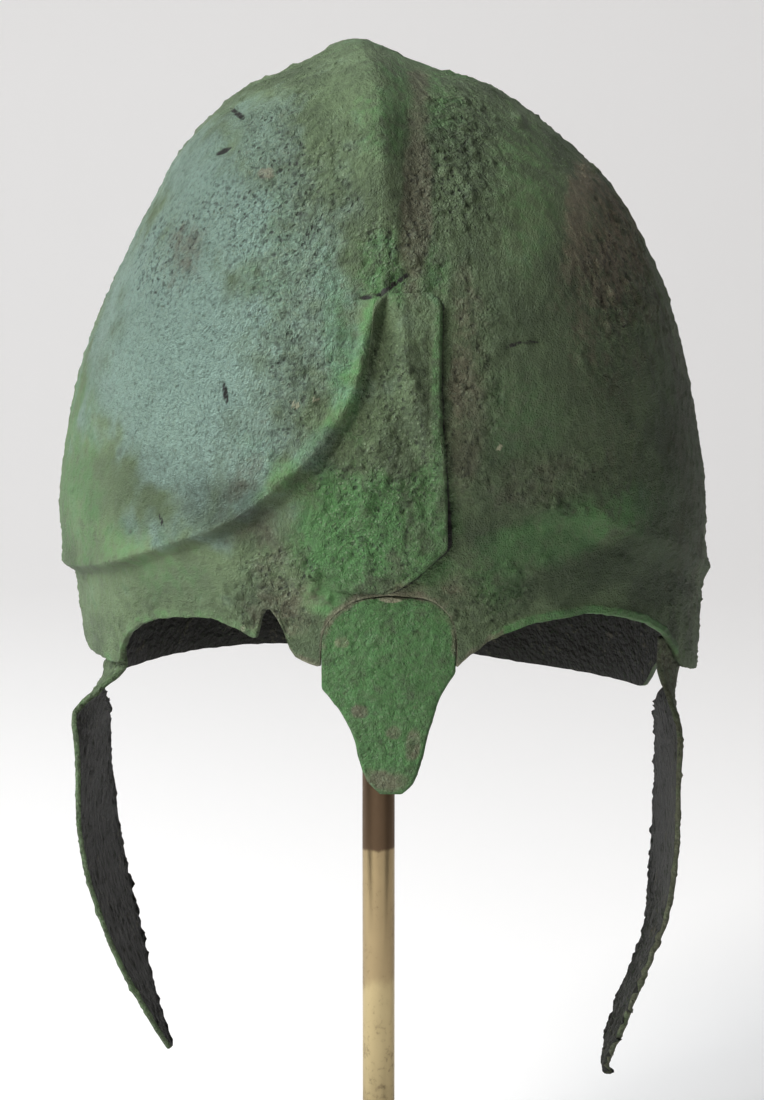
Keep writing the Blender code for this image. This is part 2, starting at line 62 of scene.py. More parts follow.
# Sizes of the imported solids, in metres
ROD_DIAMETER = 0.010
BROW_HEIGHT = 0.240
HELMET_SHIFT = 0.0015
SKULL_WIDTH = 0.1945
SKULL_RISE = 0.1463
FRONT_REACH = 0.1085
BACK_REACH = 0.1200
NECK_DROP = 0.0550
WIDEST_PLACE = 0.005
WALL = 0.0015
PLAN_SQUARENESS = 2.12
BAND_STEP = 0.0024
BEAD_HEIGHT = 0.0012
CORD_HEIGHT = 0.0005
KEEL_HEIGHT = 0.0070
KEEL_HALF_WIDTH = 0.0260
KEEL_RIGHT_SHARE = 0.32
KEEL_LEFT_SHARE = 0.80
KEEL_SHARPNESS = 2.1
KEEL_LEAN = 0.0095
KEEL_FADE = 0.0300
KEEL_ROUND = 0.0032
NASAL_LENGTH = 0.0537
NASAL_HALF_WIDTH = 0.0189
NASAL_RISE = 0.0047
NASAL_SHIFT = 0.0012
NASAL_THICKNESS = 0.0020
SEAT_CORNER_DROP = 0.0150
SEAT_ROUNDNESS = 1.7
PLATE_HEIGHT = 0.0800
PLATE_HALF_WIDTH = 0.0190
PLATE_FOOT_GAP = 0.0011
PLATE_THICKNESS = 0.0015
PLATE_GAP = 0.0004
LEFT_CHEEK_LENGTH = 0.1215
RIGHT_CHEEK_LENGTH = 0.1285
CHEEK_DEPTH = 0.0980
CHEEK_SPREAD = 0.0250
CHEEK_THICKNESS = 0.0015
CHEEK_TOP = 0.0160
CHEEK_PLACE = -0.0380
SEAM = 0.0004
LAP_GAP = 0.0004
ARCH_MIDDLE = 30.0
ARCH_END = 62.0
BLADE_TOP = -0.030
PLATE_SUNK = 0.0003

# The camera: pixels of the photo, millimetres of sensor, degrees and metres
PHOTO_HEIGHT = 1100
FOCAL_PIXELS = 3135
SENSOR_WIDTH = 36
CAMERA_PITCH = 10
CAMERA_DISTANCE = 0.95
CAMERA_AIM = (0.00106, 0, BROW_HEIGHT)

# Height (share of the rise, or of the neck drop below the brow), then shares of
# the half width, the front reach and the back reach, and the middle's lean.
SECTIONS = (
    # height, width, front, back, lean
    (-1.120, 0.982, 1.050, 0.955, 0.026),
    (-0.860, 0.980, 1.026, 0.918, 0.026),
    (-0.550, 0.978, 1.006, 0.885, 0.026),
    (-0.240, 0.990, 0.998, 0.915, 0.021),
    (0.012, 0.992, 0.996, 0.952, 0.004),
    (0.100, 1.000, 1.000, 0.985, -0.003),
    (0.205, 0.986, 0.996, 1.000, -0.003),
    (0.334, 0.950, 0.980, 0.998, -0.002),
    (0.460, 0.898, 0.948, 0.972, 0.006),
    (0.579, 0.828, 0.896, 0.916, 0.013),
    (0.738, 0.700, 0.786, 0.788, 0.010),
    (0.820, 0.604, 0.700, 0.682, -0.014),
    (0.902, 0.472, 0.584, 0.546, -0.034),
    (0.966, 0.310, 0.400, 0.356, -0.046),
    (1.000, 0.000, 0.000, 0.000, -0.075),
)

# Degrees round from the front, then the brow line's height on the left and right
BROW_LINE = (
    (0.0, 0.595, 0.595),
    (2.2, 0.558, 0.519),
    (4.5, 0.419, 0.383),
    (8.0, 0.339, 0.294),
    (12.0, 0.284, 0.252),
    (24.0, 0.171, 0.205),
    (40.0, 0.099, 0.150),
    (55.0, 0.047, 0.090),
    (75.0, 0.007, 0.012),
    (90.0, -0.010, -0.034),
    (130.0, -0.018, -0.030),
    (180.0, -0.020, -0.020),
)

# The lower edge: where a column starts, where it stands higher up, and its height
RIM_LEFT = (
    # upper, edge, height
    (16.0, 9.6, -0.273),
    (18.3, 14.2, -0.215),
    (19.2, 15.4, -0.085),
    (20.4, 17.4, 0.012),
    (21.8, 19.2, -0.030),
    (23.4, 21.2, -0.143),
    (26.2, 24.5, -0.110),
    (31.0, 30.0, -0.071),
    (36.0, 35.5, -0.080),
    (43.0, 43.0, -0.122),
    (50.0, 50.2, -0.213),
    (55.0, 54.4, -0.320),
    (59.0, 56.4, -0.418),
    (65.0, 63.0, -0.432),
    (73.0, 73.0, -0.446),
    (79.0, 79.5, -0.440),
    (84.0, 84.0, -0.300),
    (92.0, 92.0, -0.215),
    (99.0, 98.0, -0.260),
    (104.0, 102.0, -0.420),
    (108.0, 104.5, -0.640),
    (112.0, 108.0, -0.835),
    (120.0, 118.0, -0.855),
    (133.0, 132.0, -0.864),
    (150.0, 150.0, -0.885),
    (180.0, 180.0, -0.945),
)
RIM_RIGHT = (
    # upper, edge, height
    (16.0, 10.8, -0.273),
    (18.0, 13.2, -0.211),
    (22.0, 18.3, -0.120),
    (27.5, 25.5, -0.067),
    (34.0, 34.0, -0.055),
    (43.0, 43.9, -0.107),
    (52.0, 53.0, -0.213),
    (59.0, 59.9, -0.355),
    (65.0, 65.5, -0.485),
    (71.0, 72.0, -0.540),
    (80.0, 82.0, -0.600),
    (85.0, 87.0, -0.600),
    (88.5, 89.5, -0.440),
    (93.0, 93.5, -0.270),
    (98.0, 98.5, -0.215),
    (104.0, 103.0, -0.300),
    (109.0, 106.0, -0.500),
    (113.0, 109.0, -0.720),
    (117.0, 113.5, -0.850),
    (121.0, 118.0, -1.000),
    (132.0, 131.0, -1.008),
    (146.0, 146.0, -1.015),
    (165.0, 165.0, -0.980),
    (180.0, 180.0, -0.945),
)

NASAL_OUTLINE = (
    # drop, left, right
    (0.000, 0.040, 0.050),
    (0.013, 0.330, 0.480),
    (0.050, 0.590, 0.740),
    (0.160, 0.900, 0.960),
    (0.240, 0.970, 1.000),
    (0.370, 0.985, 0.985),
    (0.462, 0.975, 0.840),
    (0.525, 0.840, 0.735),
    (0.585, 0.695, 0.675),
    (0.650, 0.580, 0.615),
    (0.700, 0.500, 0.565),
    (0.823, 0.400, 0.475),
    (0.887, 0.340, 0.410),
    (0.950, 0.240, 0.330),
    (1.000, 0.080, 0.170),
)
PLATE_OUTLINE = (
    # height, left, right
    (0.000, -0.700, 0.060),
    (0.030, -0.940, 0.300),
    (0.090, -1.080, 0.600),
    (0.170, -1.130, 0.915),
    (0.300, -1.060, 0.880),
    (0.390, -0.930, 0.850),
    (0.480, -0.700, 0.820),
    (0.580, -0.480, 0.790),
    (0.720, -0.270, 0.770),
    (0.880, -0.165, 0.780),
    (0.965, -0.120, 0.780),
    (1.000, -0.020, 0.660),
)
CHEEK_LEFT = (
    # drop, front, back, front_spread, back_spread, hug, sag
    (0.000, -0.160, -0.030, 0.000, 0.000, 1.00, 0.000),
    (0.062, -0.160, -0.030, 0.000, 0.000, 1.00, 0.000),
    (0.115, -0.165, -0.025, 0.150, 0.020, 0.60, 0.000),
    (0.170, -0.230, 0.110, 0.300, 0.010, 0.10, 0.010),
    (0.225, -0.290, 0.330, 0.215, 0.065, 0.00, 0.020),
    (0.300, -0.325, 0.490, 0.190, 0.125, 0.00, 0.022),
    (0.400, -0.340, 0.550, 0.190, 0.145, 0.00, 0.020),
    (0.520, -0.340, 0.530, 0.120, 0.085, 0.00, 0.020),
    (0.640, -0.325, 0.440, -0.030, -0.040, 0.00, 0.020),
    (0.760, -0.295, 0.290, -0.225, -0.245, 0.00, 0.020),
    (0.880, -0.260, 0.070, -0.490, -0.475, 0.00, 0.012),
    (0.960, -0.235, -0.110, -0.680, -0.680, 0.00, 0.004),
    (1.000, -0.220, -0.190, -0.785, -0.790, 0.00, 0.000),
)
CHEEK_RIGHT = (
    # drop, front, back, front_spread, back_spread, hug, sag
    (0.000, -0.160, 0.030, 0.000, 0.000, 1.00, 0.000),
    (0.062, -0.160, 0.030, 0.000, 0.000, 1.00, 0.000),
    (0.125, -0.175, 0.045, 0.040, -0.060, 0.70, 0.000),
    (0.180, -0.240, 0.180, -0.020, -0.190, 0.15, 0.012),
    (0.230, -0.290, 0.330, -0.080, -0.140, 0.00, 0.020),
    (0.320, -0.325, 0.480, -0.100, -0.070, 0.00, 0.020),
    (0.430, -0.340, 0.530, -0.110, -0.050, 0.00, 0.020),
    (0.550, -0.335, 0.490, -0.165, -0.085, 0.00, 0.020),
    (0.660, -0.320, 0.370, -0.290, -0.165, 0.00, 0.016),
    (0.735, -0.305, 0.260, -0.430, -0.215, 0.00, 0.010),
    (0.790, -0.295, 0.190, -0.540, -0.340, 0.00, 0.010),
    (0.880, -0.270, 0.060, -0.680, -0.620, 0.00, 0.008),
    (0.960, -0.245, -0.100, -0.825, -0.815, 0.00, 0.002),
    (1.000, -0.225, -0.190, -0.875, -0.875, 0.00, 0.000),
)

# Patina zones on the front, in millimetres: how far across, the height above the
# brow, half width, half height, tilt in degrees and strength. The blue zone paints the
# window's reflection over a bluish patina, and the shade zone paints shade.
ZONES = {
    "crust": (
        (-30, 110, 20, 30, 10, 0.9),
        (-24, 68, 13, 30, 0, 0.8),
        (4, 96, 14, 12, 0, 0.8),
        (20, 118, 12, 24, 0, 0.8),
        (68, 92, 13, 30, 12, 0.75),
        (24, 60, 9, 32, 0, 0.7),
        (-2, 40, 20, 44, 0, 0.7),
        (-30, 8, 14, 16, 0, 0.9),
        (28, 4, 22, 12, 0, 0.6),
        (44, 36, 16, 9, -14, 0.6),
        (-60, 94, 10, 16, 20, 0.9),
        (-50, 60, 30, 40, 0, 0.35),
    ),
    # Painted reflection of the window on the left flank, over a bluish patina
    "blue": (
        (-58, 66, 27, 39, -8, 1.0),
        (-50, 106, 18, 26, -22, 0.8),
        (-34, 126, 14, 14, -30, 0.5),
        (-40, 52, 15, 15, 0, 0.7),
        (-30, 84, 22, 44, 0, 0.5),
        (-34, 30, 14, 14, 0, 0.2),
    ),
    "bright": (
        (-88, 30, 10, 34, 0, 0.5),
        (-70, 12, 22, 9, 6, 0.4),
        (-17, 4, 6, 4.5, 0, 1.0),
        (-32, 92, 10, 20, 0, 0.4),
        (4, 92, 14, 10, 0, 0.6),
        (8, 134, 14, 14, 0, 0.5),
        (-12, 22, 18, 16, 0, 0.9),
        (12, 20, 9, 22, 0, 0.6),
        (-11, 66, 5, 26, -8, 0.8),
        (-28, 38, 16, 5, 42, 0.6),
        (30, 8, 12, 8, 0, 0.5),
        (39, 112, 11, 26, 0, 0.3),
        (50, 20, 30, 8, -12, 0.7),
        (38, 50, 14, 14, 0, 0.4),
    ),
    "brown": (
        (9, 114, 4, 34, 2, 1.0),
        (70, 88, 14, 26, 10, 0.6),
        (90, 60, 10, 44, 0, 0.7),
        (92, 8, 10, 26, 0, 0.6),
        (22, 62, 5, 30, 0, 0.75),
        (-34, 24, 8, 16, -20, 0.7),
        (-26, 2, 9, 10, 0, 0.7),
        (18, 4, 8, 6, -30, 0.7),
        (60, 60, 18, 30, 0, 0.35),
        (40, 36, 14, 8, -14, 0.5),
        (-56, 94, 5, 9, 20, 0.65),
        (-6.6, -27, 2.5, 2, 0, 0.9),
        (2.7, -32.6, 2.4, 2, 0, 0.9),
        (8, -36, 2.4, 5, 10, 0.8),
        (1, -45.5, 7, 3, 0, 1.0),
    ),
    "rose": (
        (55, 104, 5, 18, 14, 1.0),
        (8, 6, 8, 3, 0, 0.7),
        (63, 98, 12, 26, 14, 0.8),
        (-32.6, 117, 2.6, 1.6, 0, 0.8),
        (-11.5, -8, 2.2, 1.8, 0, 0.7),
    ),
    "shade": (
        (10, 112, 6, 38, 0, 0.5),
        (22, 108, 9, 26, 0, 0.45),
        (42, 15, 16, 7, -12, 0.6),
        (46, 66, 26, 36, 0, 0.5),
        (62, 9, 30, 8, -12, 1.0),
        (26, 22, 5, 8, -20, 0.7),
        (86, 28, 14, 44, 0, 0.9),
        (32, 42, 13, 22, 0, 0.6),
        (-36, 20, 12, 4, 10, 0.6),
        (-5, -34, 4, 6, 0, 0.3),
        (-74, 30, 28, 16, 0, 0.45),
        (-90, 40, 12, 60, 0, 0.4),
        (-50, 6, 34, 8, 0, 0.45),
        (-36, 6, 8, 8, 0, 0.6),
        (-15, 5, 6, 4, 0, 0.5),
        (-14, 48, 6, 8, 0, 0.5),
        (82, 2, 16, 12, 0, 1.0),
        (34, 28, 18, 7, 0, 0.6),
        (-42, 28, 14, 9, 8, 0.75),
    ),
    "sleek": (
        (40, 112, 10, 26, 0, 0.9),
        (-17, 4, 6, 4.5, 0, 1.0),
        (-60, 10, 26, 8, 6, 0.8),
        (-84, 30, 14, 40, 0, 0.6),
        (50, 18, 26, 8, -12, 0.7),
        (60, 4, 26, 6, -12, 0.6),
        (2, 142, 20, 8, 0, 0.5),
        (44, 62, 20, 18, 0, 0.5),
        (-32, 137, 8, 3, -12, 0.8),
    ),
    "pale": (
        (1.6, 4.3, 3.6, 1.3, 4, 1.0),
        (-38.5, -5.6, 1.3, 1.2, 0, 0.6),
        (13.5, 1.2, 4.5, 1.2, 28, 0.5),
        (-10, 2.2, 4.5, 1.2, -24, 0.5),
        (-23.5, 56.7, 1.3, 1.4, 0, 0.8),
        (-18.3, 58.2, 1.2, 1.2, 0, 0.8),
        (31.3, 45.4, 1.2, 0.9, -50, 0.8),
        (-32, 137, 5, 2, -12, 0.35),
    ),
}

# Cuts and cracks on the front: ends across and up, half width and depth in mm
CUTS = (
    (-44.8, 133.6, -38.9, 131.2, 0.8, 1.1),
    (-48.0, 121.4, -43.4, 123.6, 0.7, 1.1),
    (-43.8, 61.8, -43.0, 56.0, 0.8, 1.5),
    (-62.4, 24.4, -61.0, 20.6, 0.6, 1.0),
    (33.0, 71.6, 37.5, 72.9, 0.6, 0.7),
    (37.5, 72.9, 42.6, 72.3, 0.6, 0.7),
    (-12.6, 99.2, -9.4, 101.0, 0.5, 0.7),
    (-7.4, 85.0, -1.5, 86.4, 0.7, 1.6),
    (-1.5, 86.4, 2.5, 88.8, 0.8, 1.8),
    (2.5, 88.8, 7.4, 92.0, 0.7, 1.6),
)

# Single lumps: across, up, radius and height in mm
LUMPS = (
    (-33.0, 74.2, 1.7, 1.2),
    (-12.6, 76.0, 1.9, 1.3),
    (-51.0, 58.0, 1.6, 0.8),
    (-30.8, 85.0, 1.6, 0.9),
    (38.2, 130.2, 1.8, 1.1),
    (23.6, 112.0, 1.9, 1.1),
    (61.0, 24.6, 1.6, 0.7),
    (29.5, 71.0, 1.7, 0.8),
    (70.0, 84.0, 2.2, 1.0),
    (77.0, 78.0, 2.2, 0.9),
)

SECTION_TABLE = np.array(SECTIONS)
TOP_STATION = len(SECTIONS) - 1
SEAT_ANGLE = RIM_RIGHT[0][0]


def paint(red, green, blue):
    """A colour picked in 8-bit screen values, as the linear values of a shader."""
    shares = np.array([red, green, blue]) / 255
    linear = np.where(shares < 0.04045, shares / 12.92, ((shares + 0.055) / 1.055) ** 2.4)
    return tuple(float(share) for share in linear)


def colour_property(name, description, red, green, blue):
    """A colour that a user may change."""
    return FloatVectorProperty(
        name=name,
        description=description,
        subtype="COLOR",
        size=3,
        min=0,
        max=1,
        default=paint(red, green, blue),
    )


def length_property(name, description, default):
    """A length in metres that a user may change."""
    return FloatProperty(
        name=name, description=description, default=default, min=0, unit="LENGTH"
    )


def power_property(name, description, default):
    """A lamp's power, which a user may change."""
    return FloatProperty(
        name=name, description=description, default=default, min=0, unit="POWER"
    )


class BronzeLook(bpy.types.PropertyGroup):
    """Sizes and colours of the corroded bronze."""

    crust: length_property("Crust", "Height of the coarse lumps", 0.0019)
    grit: length_property("Grit", "Height of the finest grains", 0.0010)
    pits: length_property("Pits", "Depth of the pits between the lumps", 0.0011)
    lip: length_property("Lip", "Height of the strip round the eye arches", 0.0006)
    bead_fall: length_property("Bead fall", "How soon the bead drops", 0.0036)
    green: colour_property("Green", "Usual patina", 102, 122, 84)
    deep: colour_property("Deep green", "Patina in the hollows", 76, 92, 62)
    bright: colour_property("Bright green", "Fresh patina", 78, 126, 68)
    # Painted reflection: a pale blue-green base colour that paints the window's reflection
    # over the bluish patina of the left flank.
    painted_sheen: colour_property("Sheen", "Patina of the glossy flank", 174, 206, 193)
    brown: colour_property("Brown", "Soil and bare oxide", 112, 104, 86)
    rose: colour_property("Rose", "Bare copper oxide", 146, 130, 110)
    # Painted shade: the dark green laid where shade falls, under the brow ridges and on the
    # right. Inside the bowl it also darkens random specks.
    dark_patina_and_shade: colour_property("Dusk", "Dark patina under the brow ridge", 42, 56, 34)
    # Also used as painted shade in the seams round the nasal and beside the forehead plate.
    soil_and_painted_shade: colour_property("Soil", "Dirt in pits and cracks", 32, 31, 25)
    grey: colour_property("Grey green", "Light grains of the crust", 158, 172, 142)
    pale: colour_property("Pale", "Chips and filler", 154, 154, 126)
    inside: colour_property("Inside", "Crust inside the bowl", 36, 37, 33)


class StandLook(bpy.types.PropertyGroup):
    """Sizes and colours of the stand."""

    tarnish_line: length_property("Tarnish", "Height where brown tarnish starts", 0.147)
    stain_line: length_property("Stain", "Height where the stains end", 0.108)
    brass: colour_property("Brass", "Clean brass", 194, 176, 134)
    straw: colour_property("Straw brass", "Stained brass", 170, 150, 114)
    tarnish: colour_property("Tarnish", "Brown tarnish", 112, 92, 72)
    lacquer: colour_property("Lacquer", "Dark wood of the base", 40, 36, 34)


class StudioLook(bpy.types.PropertyGroup):
    """The studio's light and backdrop."""

    window: power_property("Window", "Light from the left", 26)
    front: power_property("Front", "Light from the front and left", 27)
    overhead: power_property("Overhead", "Light from above", 3)
    room: FloatProperty(
        name="Room", description="Light from all round", default=0.12, min=0
    )
    glow: FloatProperty(
        name="Glow", description="Light that the backdrop adds", default=0.28, min=0
    )
    backdrop: colour_property("Backdrop", "Floor and backdrop", 231, 228, 227)


def follow(table, at, column):
    """A smooth curve that passes through a table's rows without overshooting them."""
    rows = np.asarray(table, float)
    keys, values = rows[:, 0], rows[:, column]
    steps, slopes = np.diff(keys), np.diff(values) / np.diff(keys)
    tangents = np.zeros(len(keys))
    same_way = slopes[:-1] * slopes[1:] > 0
    near, far = 2 * steps[1:] + steps[:-1], steps[1:] + 2 * steps[:-1]
    with np.errstate(divide="ignore", invalid="ignore"):
        mean = (near + far) / (near / slopes[:-1] + far / slopes[1:])
    tangents[1:-1] = np.where(same_way, mean, 0.0)
    tangents[0], tangents[-1] = slopes[0], slopes[-1]
    at = np.clip(np.asarray(at, float), keys[0], keys[-1])
    i = np.clip(np.searchsorted(keys, at, side="right") - 1, 0, len(steps) - 1)
    t = (at - keys[i]) / steps[i]
    return (
        (1 + 2 * t) * (1 - t) ** 2 * values[i]
        + t * (1 - t) ** 2 * steps[i] * tangents[i]
        + t * t * (3 - 2 * t) * values[i + 1]
        + t * t * (t - 1) * steps[i] * tangents[i + 1]
    )


def ease(low, high, value):
    """0 below low, 1 above high, and a smooth step between."""
    t = np.clip((value - low) / (high - low), 0, 1)
    return t * t * (3 - 2 * t)


def by_side(angle, table, right_table, column):
    """Reads the left table at negative angles and the right one at positive angles."""
    around = np.abs(angle)
    return np.where(
        angle < 0, follow(table, around, column), follow(right_table, around, column)
    )


def section(station):
    """Height, half width, front and back reach and middle at a station."""
    share = SECTION_TABLE[:, 0]
    height = share * np.where(share < 0, NECK_DROP, SKULL_RISE)
    half = SKULL_WIDTH / 2
    sizes = np.stack([height, *(SECTION_TABLE[:, 1:].T)], axis=1)
    sizes[:, 1:] *= (half, FRONT_REACH, BACK_REACH, half)
    over_top = sizes[-2] * (1, -1, -1, -1, 1)
    under = 2 * sizes[0] - sizes[1]
    rows = np.vstack([under, sizes, over_top])
    i = np.clip(np.floor(station).astype(int), 0, TOP_STATION - 1)
    t = (station - i)[..., None]
    before, here, there, after = rows[i], rows[i + 1], rows[i + 2], rows[i + 3]
    return 0.5 * (
        2 * here
        + t * (there - before)
        + t**2 * (2 * before - 5 * here + 4 * there - after)
        + t**3 * (3 * here - before - 3 * there + after)
    )


def station_at(height):
    """The station at which the skull has this height."""
    stations = np.linspace(0, TOP_STATION, 2400)
    return np.interp(height, section(stations)[:, 0], stations)


def smooth_skull(angle, station):
    """A point of the skull without its relief. The angle is in degrees from the front."""
    height, half_width, front, back, middle = np.moveaxis(section(station), -1, 0)
    turn = np.radians(angle)
    power = 2 / PLAN_SQUARENESS
    across = np.sign(np.sin(turn)) * np.abs(np.sin(turn)) ** power
    along = np.sign(np.cos(turn)) * np.abs(np.cos(turn)) ** power
    reach = np.where(along > 0, front, back)
    x = middle + half_width * across
    return np.stack([x, WIDEST_PLACE - reach * along, height + 0 * x], axis=-1)


def outward(angle, station):
    """The unit normal of the smooth skull."""
    turn, rise = 0.4, 0.02
    station = np.minimum(station, TOP_STATION - 0.03)
    around = smooth_skull(angle + turn, station) - smooth_skull(angle - turn, station)
    up = smooth_skull(angle, station + rise) - smooth_skull(angle, station - rise)
    normal = np.cross(around, up)
    return normal / np.linalg.norm(normal, axis=-1, keepdims=True)


def brow_height(angle):
    """The height of the brow line, where the band steps in under the skull."""
    share = by_side(angle, BROW_LINE, np.array(BROW_LINE)[:, [0, 2]], 1)
    return share * SKULL_RISE


def brow_path():
    """The brow line as points: how far round the skull, and the height, in metres."""
    peak = np.linspace(-15.6, 15.6, 105)
    angle = np.concatenate([np.linspace(-180, -16, 60), peak, np.linspace(16, 180, 60)])
    return np.stack([np.radians(angle) * SKULL_WIDTH / 2, brow_height(angle)], axis=-1)


def above_brow(angle, height):
    """Distance from the brow line along the skull, negative on the band."""
    path = brow_path()
    start, way = path[:-1], np.diff(path, axis=0)
    around, up = np.broadcast_arrays(np.radians(angle) * SKULL_WIDTH / 2, height)
    place = np.stack([around.ravel(), up.ravel()], axis=-1)
    nearest = []
    for few in np.array_split(place, len(place) // 4000 + 1):
        beside = few[:, None] - start
        along = np.clip((beside * way).sum(-1) / (way**2).sum(-1), 0, 1)
        nearest.append(np.linalg.norm(beside - along[..., None] * way, axis=-1).min(axis=1))
    distance = np.concatenate(nearest).reshape(around.shape)
    return np.where(up < brow_height(angle), -distance, distance)


def keel(point):
    """How far the keel over the crown stands out of the smooth skull."""
    x, y, z = np.moveaxis(point, -1, 0)
    back_share = np.clip((y - WIDEST_PLACE) / BACK_REACH, -1, 1)
    front_share = np.clip((WIDEST_PLACE - y) / FRONT_REACH, 0, 1)
    straightening = (1 - front_share) ** 1.2 * (1 - 0.6 * ease(0, 1, back_share))
    crest = NASAL_SHIFT - KEEL_LEAN * straightening
    right = 1 - (1 - KEEL_RIGHT_SHARE) * ease(0.1, 0.7, front_share)
    left = 1 - (1 - KEEL_LEFT_SHARE) * ease(0.35, 0.8, front_share)
    half = KEEL_HALF_WIDTH * np.where(x > crest, right, left)
    aside = np.hypot(x - crest, KEEL_ROUND) - KEEL_ROUND
    nearness = np.clip(1 - aside / half, 0, 1)
    foot = np.where(y < WIDEST_PLACE, BROW_LINE[0][1] * SKULL_RISE, KEEL_FADE)
    lasting = ease(0, KEEL_FADE, z - foot)
    return KEEL_HEIGHT * (1 - 0.35 * front_share) * nearness**KEEL_SHARPNESS * lasting


def cord(angle, above):
    """1 along the raised cord to the left of the forehead plate, 0 elsewhere."""
    along = ease(-27, -20, angle) * (1 - ease(-1.5, 1.0, angle))
    return along * np.exp(-(((above - 0.0012) / 0.0027) ** 2))


def relief(angle, station, bead_fall):
    """How far the skull's face lies outside the smooth skull: keel, bead and band."""
    point = smooth_skull(angle, station)
    above = above_brow(angle, point[..., 2])
    softer = ease(0, 14, angle)
    fall = bead_fall * (1 + 1.2 * softer)
    band = -BAND_STEP * (1 - ease(-fall, 0, above))
    on_left = 1 - 0.7 * softer * (1 - ease(70, 95, angle))
    half_width = np.where(above < 0, 0.0018, 0.0026) * (1 + 0.7 * ease(55, 85, np.abs(angle)))
    bead = BEAD_HEIGHT * on_left * np.exp(-((above / half_width) ** 2))
    return band + bead + CORD_HEIGHT * cord(angle, above) + keel(point)


def angle_across(x, station):
    """The angle at which the front of the skull is this far from the middle plane."""
    sizes = section(station)
    offset = x - sizes[..., 4]
    share = np.clip(np.abs(offset) / sizes[..., 1], 0, 1) ** (PLAN_SQUARENESS / 2)
    return np.sign(offset) * np.degrees(np.arcsin(share))


def nasal_height(share):
    """Height on the nasal's seat: share 0 is its top and 1 the eye arch's corner."""
    seat_depth = NASAL_RISE + SEAT_CORNER_DROP
    return NASAL_RISE - seat_depth * np.abs(share) ** SEAT_ROUNDNESS


def nasal_edge(height, side, clearance=0.0):
    """The nasal's edge on one side (-1 left, 1 right), with its seat's clearance."""
    drop = np.clip((NASAL_RISE - height) / NASAL_LENGTH, 0, 1)
    column = 1 if side < 0 else 2
    reach = follow(NASAL_OUTLINE, drop, column) * NASAL_HALF_WIDTH
    return NASAL_SHIFT + side * (reach + clearance)


def rim(angle):
    """Where the wall starts below an upper angle: its own angle and its height."""
    side = np.where(angle < 0, -1, 1)
    share = np.clip(np.abs(angle) / SEAT_ANGLE, 0, 1)
    seat_z = nasal_height(share)
    edges = [nasal_edge(seat_z, way, SEAM * share) for way in (-1, 1)]
    seat_x = np.where(share > 0, np.where(side < 0, *edges), NASAL_SHIFT)
    seat_edge = angle_across(seat_x, station_at(seat_z))
    first = np.where(side < 0, RIM_LEFT[0][1], RIM_RIGHT[0][1])
    first_height = np.where(side < 0, RIM_LEFT[0][2], RIM_RIGHT[0][2]) * NECK_DROP
    meeting = 1 - ease(SEAT_ANGLE, ARCH_MIDDLE, np.abs(angle))
    edge = by_side(angle, RIM_LEFT, RIM_RIGHT, 1) + (np.abs(seat_edge) - first) * meeting
    height = by_side(angle, RIM_LEFT, RIM_RIGHT, 2) * NECK_DROP
    height = height + (seat_z - first_height) * meeting
    seated = share < 1
    edge_angle = np.where(seated, seat_edge, side * edge)
    return edge_angle, np.where(seated, seat_z + SEAM * (1 - share), height)


def hashed(cells, seed):
    """A repeatable random number from 0 to 1 for each whole-numbered cell."""
    mixed = np.asarray(cells) @ np.array([127.1, 311.7, 74.7]) + seed * 53.37
    return np.modf(np.abs(np.sin(mixed) * 43758.5453))[0]


def swell(points, size, seed):
    """Smooth random values from 0 to 1 over space, with humps of about this size."""
    place = points / size + seed * 7.31
    cell = np.floor(place)
    inner = place - cell
    inner = inner * inner * (3 - 2 * inner)
    total = 0
    for corner in np.ndindex(2, 2, 2):
        corner = np.array(corner)
        weight = np.prod(np.where(corner, inner, 1 - inner), axis=-1)
        total = total + weight * hashed(cell + corner, seed)
    return total


def layered(points, size, seed, layers=3):
    """Swells of halving sizes added up, from 0 to 1."""
    total, weight = 0, 0
    for layer in range(layers):
        share = 0.55**layer
        total = total + share * swell(points, size / 2**layer, seed + layer)
        weight += share
    return total / weight


def humps(points, size, seed, least=0.25, most=0.62):
    """Round humps of unequal size, about one in each cell, from 0 to 1 high."""
    place = points / size
    cell = np.floor(place)
    highest = np.zeros(place.shape[:-1])
    for step in np.ndindex(3, 3, 3):
        near = cell + np.array(step) - 1
        middle = near + np.stack([hashed(near, seed + i) for i in range(3)], axis=-1)
        reach = least + (most - least) * hashed(near, seed + 3)
        away = np.linalg.norm(place - middle, axis=-1) / reach
        height = hashed(near, seed + 4) * np.clip(1 - away**2, 0, 1)
        highest = np.maximum(highest, height)
    return highest


def patches(table, across, up, wobble):
    """The strongest of a table's soft ellipses at each place, from 0 to 1."""
    total = np.zeros_like(across)
    for middle, height, wide, tall, tilt, strength in table:
        cosine, sine = math.cos(math.radians(tilt)), math.sin(math.radians(tilt))
        dx, dz = across - middle, up - height
        u = (dx * cosine - dz * sine) / wide
        v = (dz * cosine + dx * sine) / tall
        edge = 0.6 * min(1, wide / 5)
        reach = np.sqrt(u * u + v * v) + wobble * edge * 2.4
        total = np.maximum(total, strength * (1 - ease(1 - edge, 1 + edge, reach)))
    return total


def zones_at(points):
    """Every patina zone's strength at points given in millimetres from the brow."""
    x, y, z = np.moveaxis(points, -1, 0)
    wobble = layered(points, 9, 3) - 0.5
    front = 1 - ease(-30, 20, y)
    zones = {}
    for number, (name, table) in enumerate(ZONES.items()):
        drawn = patches(table, x, z, wobble)
        field = layered(points, 26, 20 + 5 * number, 4)
        strength = 0.3 if name in ("pale", "blue", "rose", "shade") else 0.6
        scattered = strength * ease(0.50, 0.66, field)
        zones[name] = drawn * front + scattered * (1 - front)
    return zones


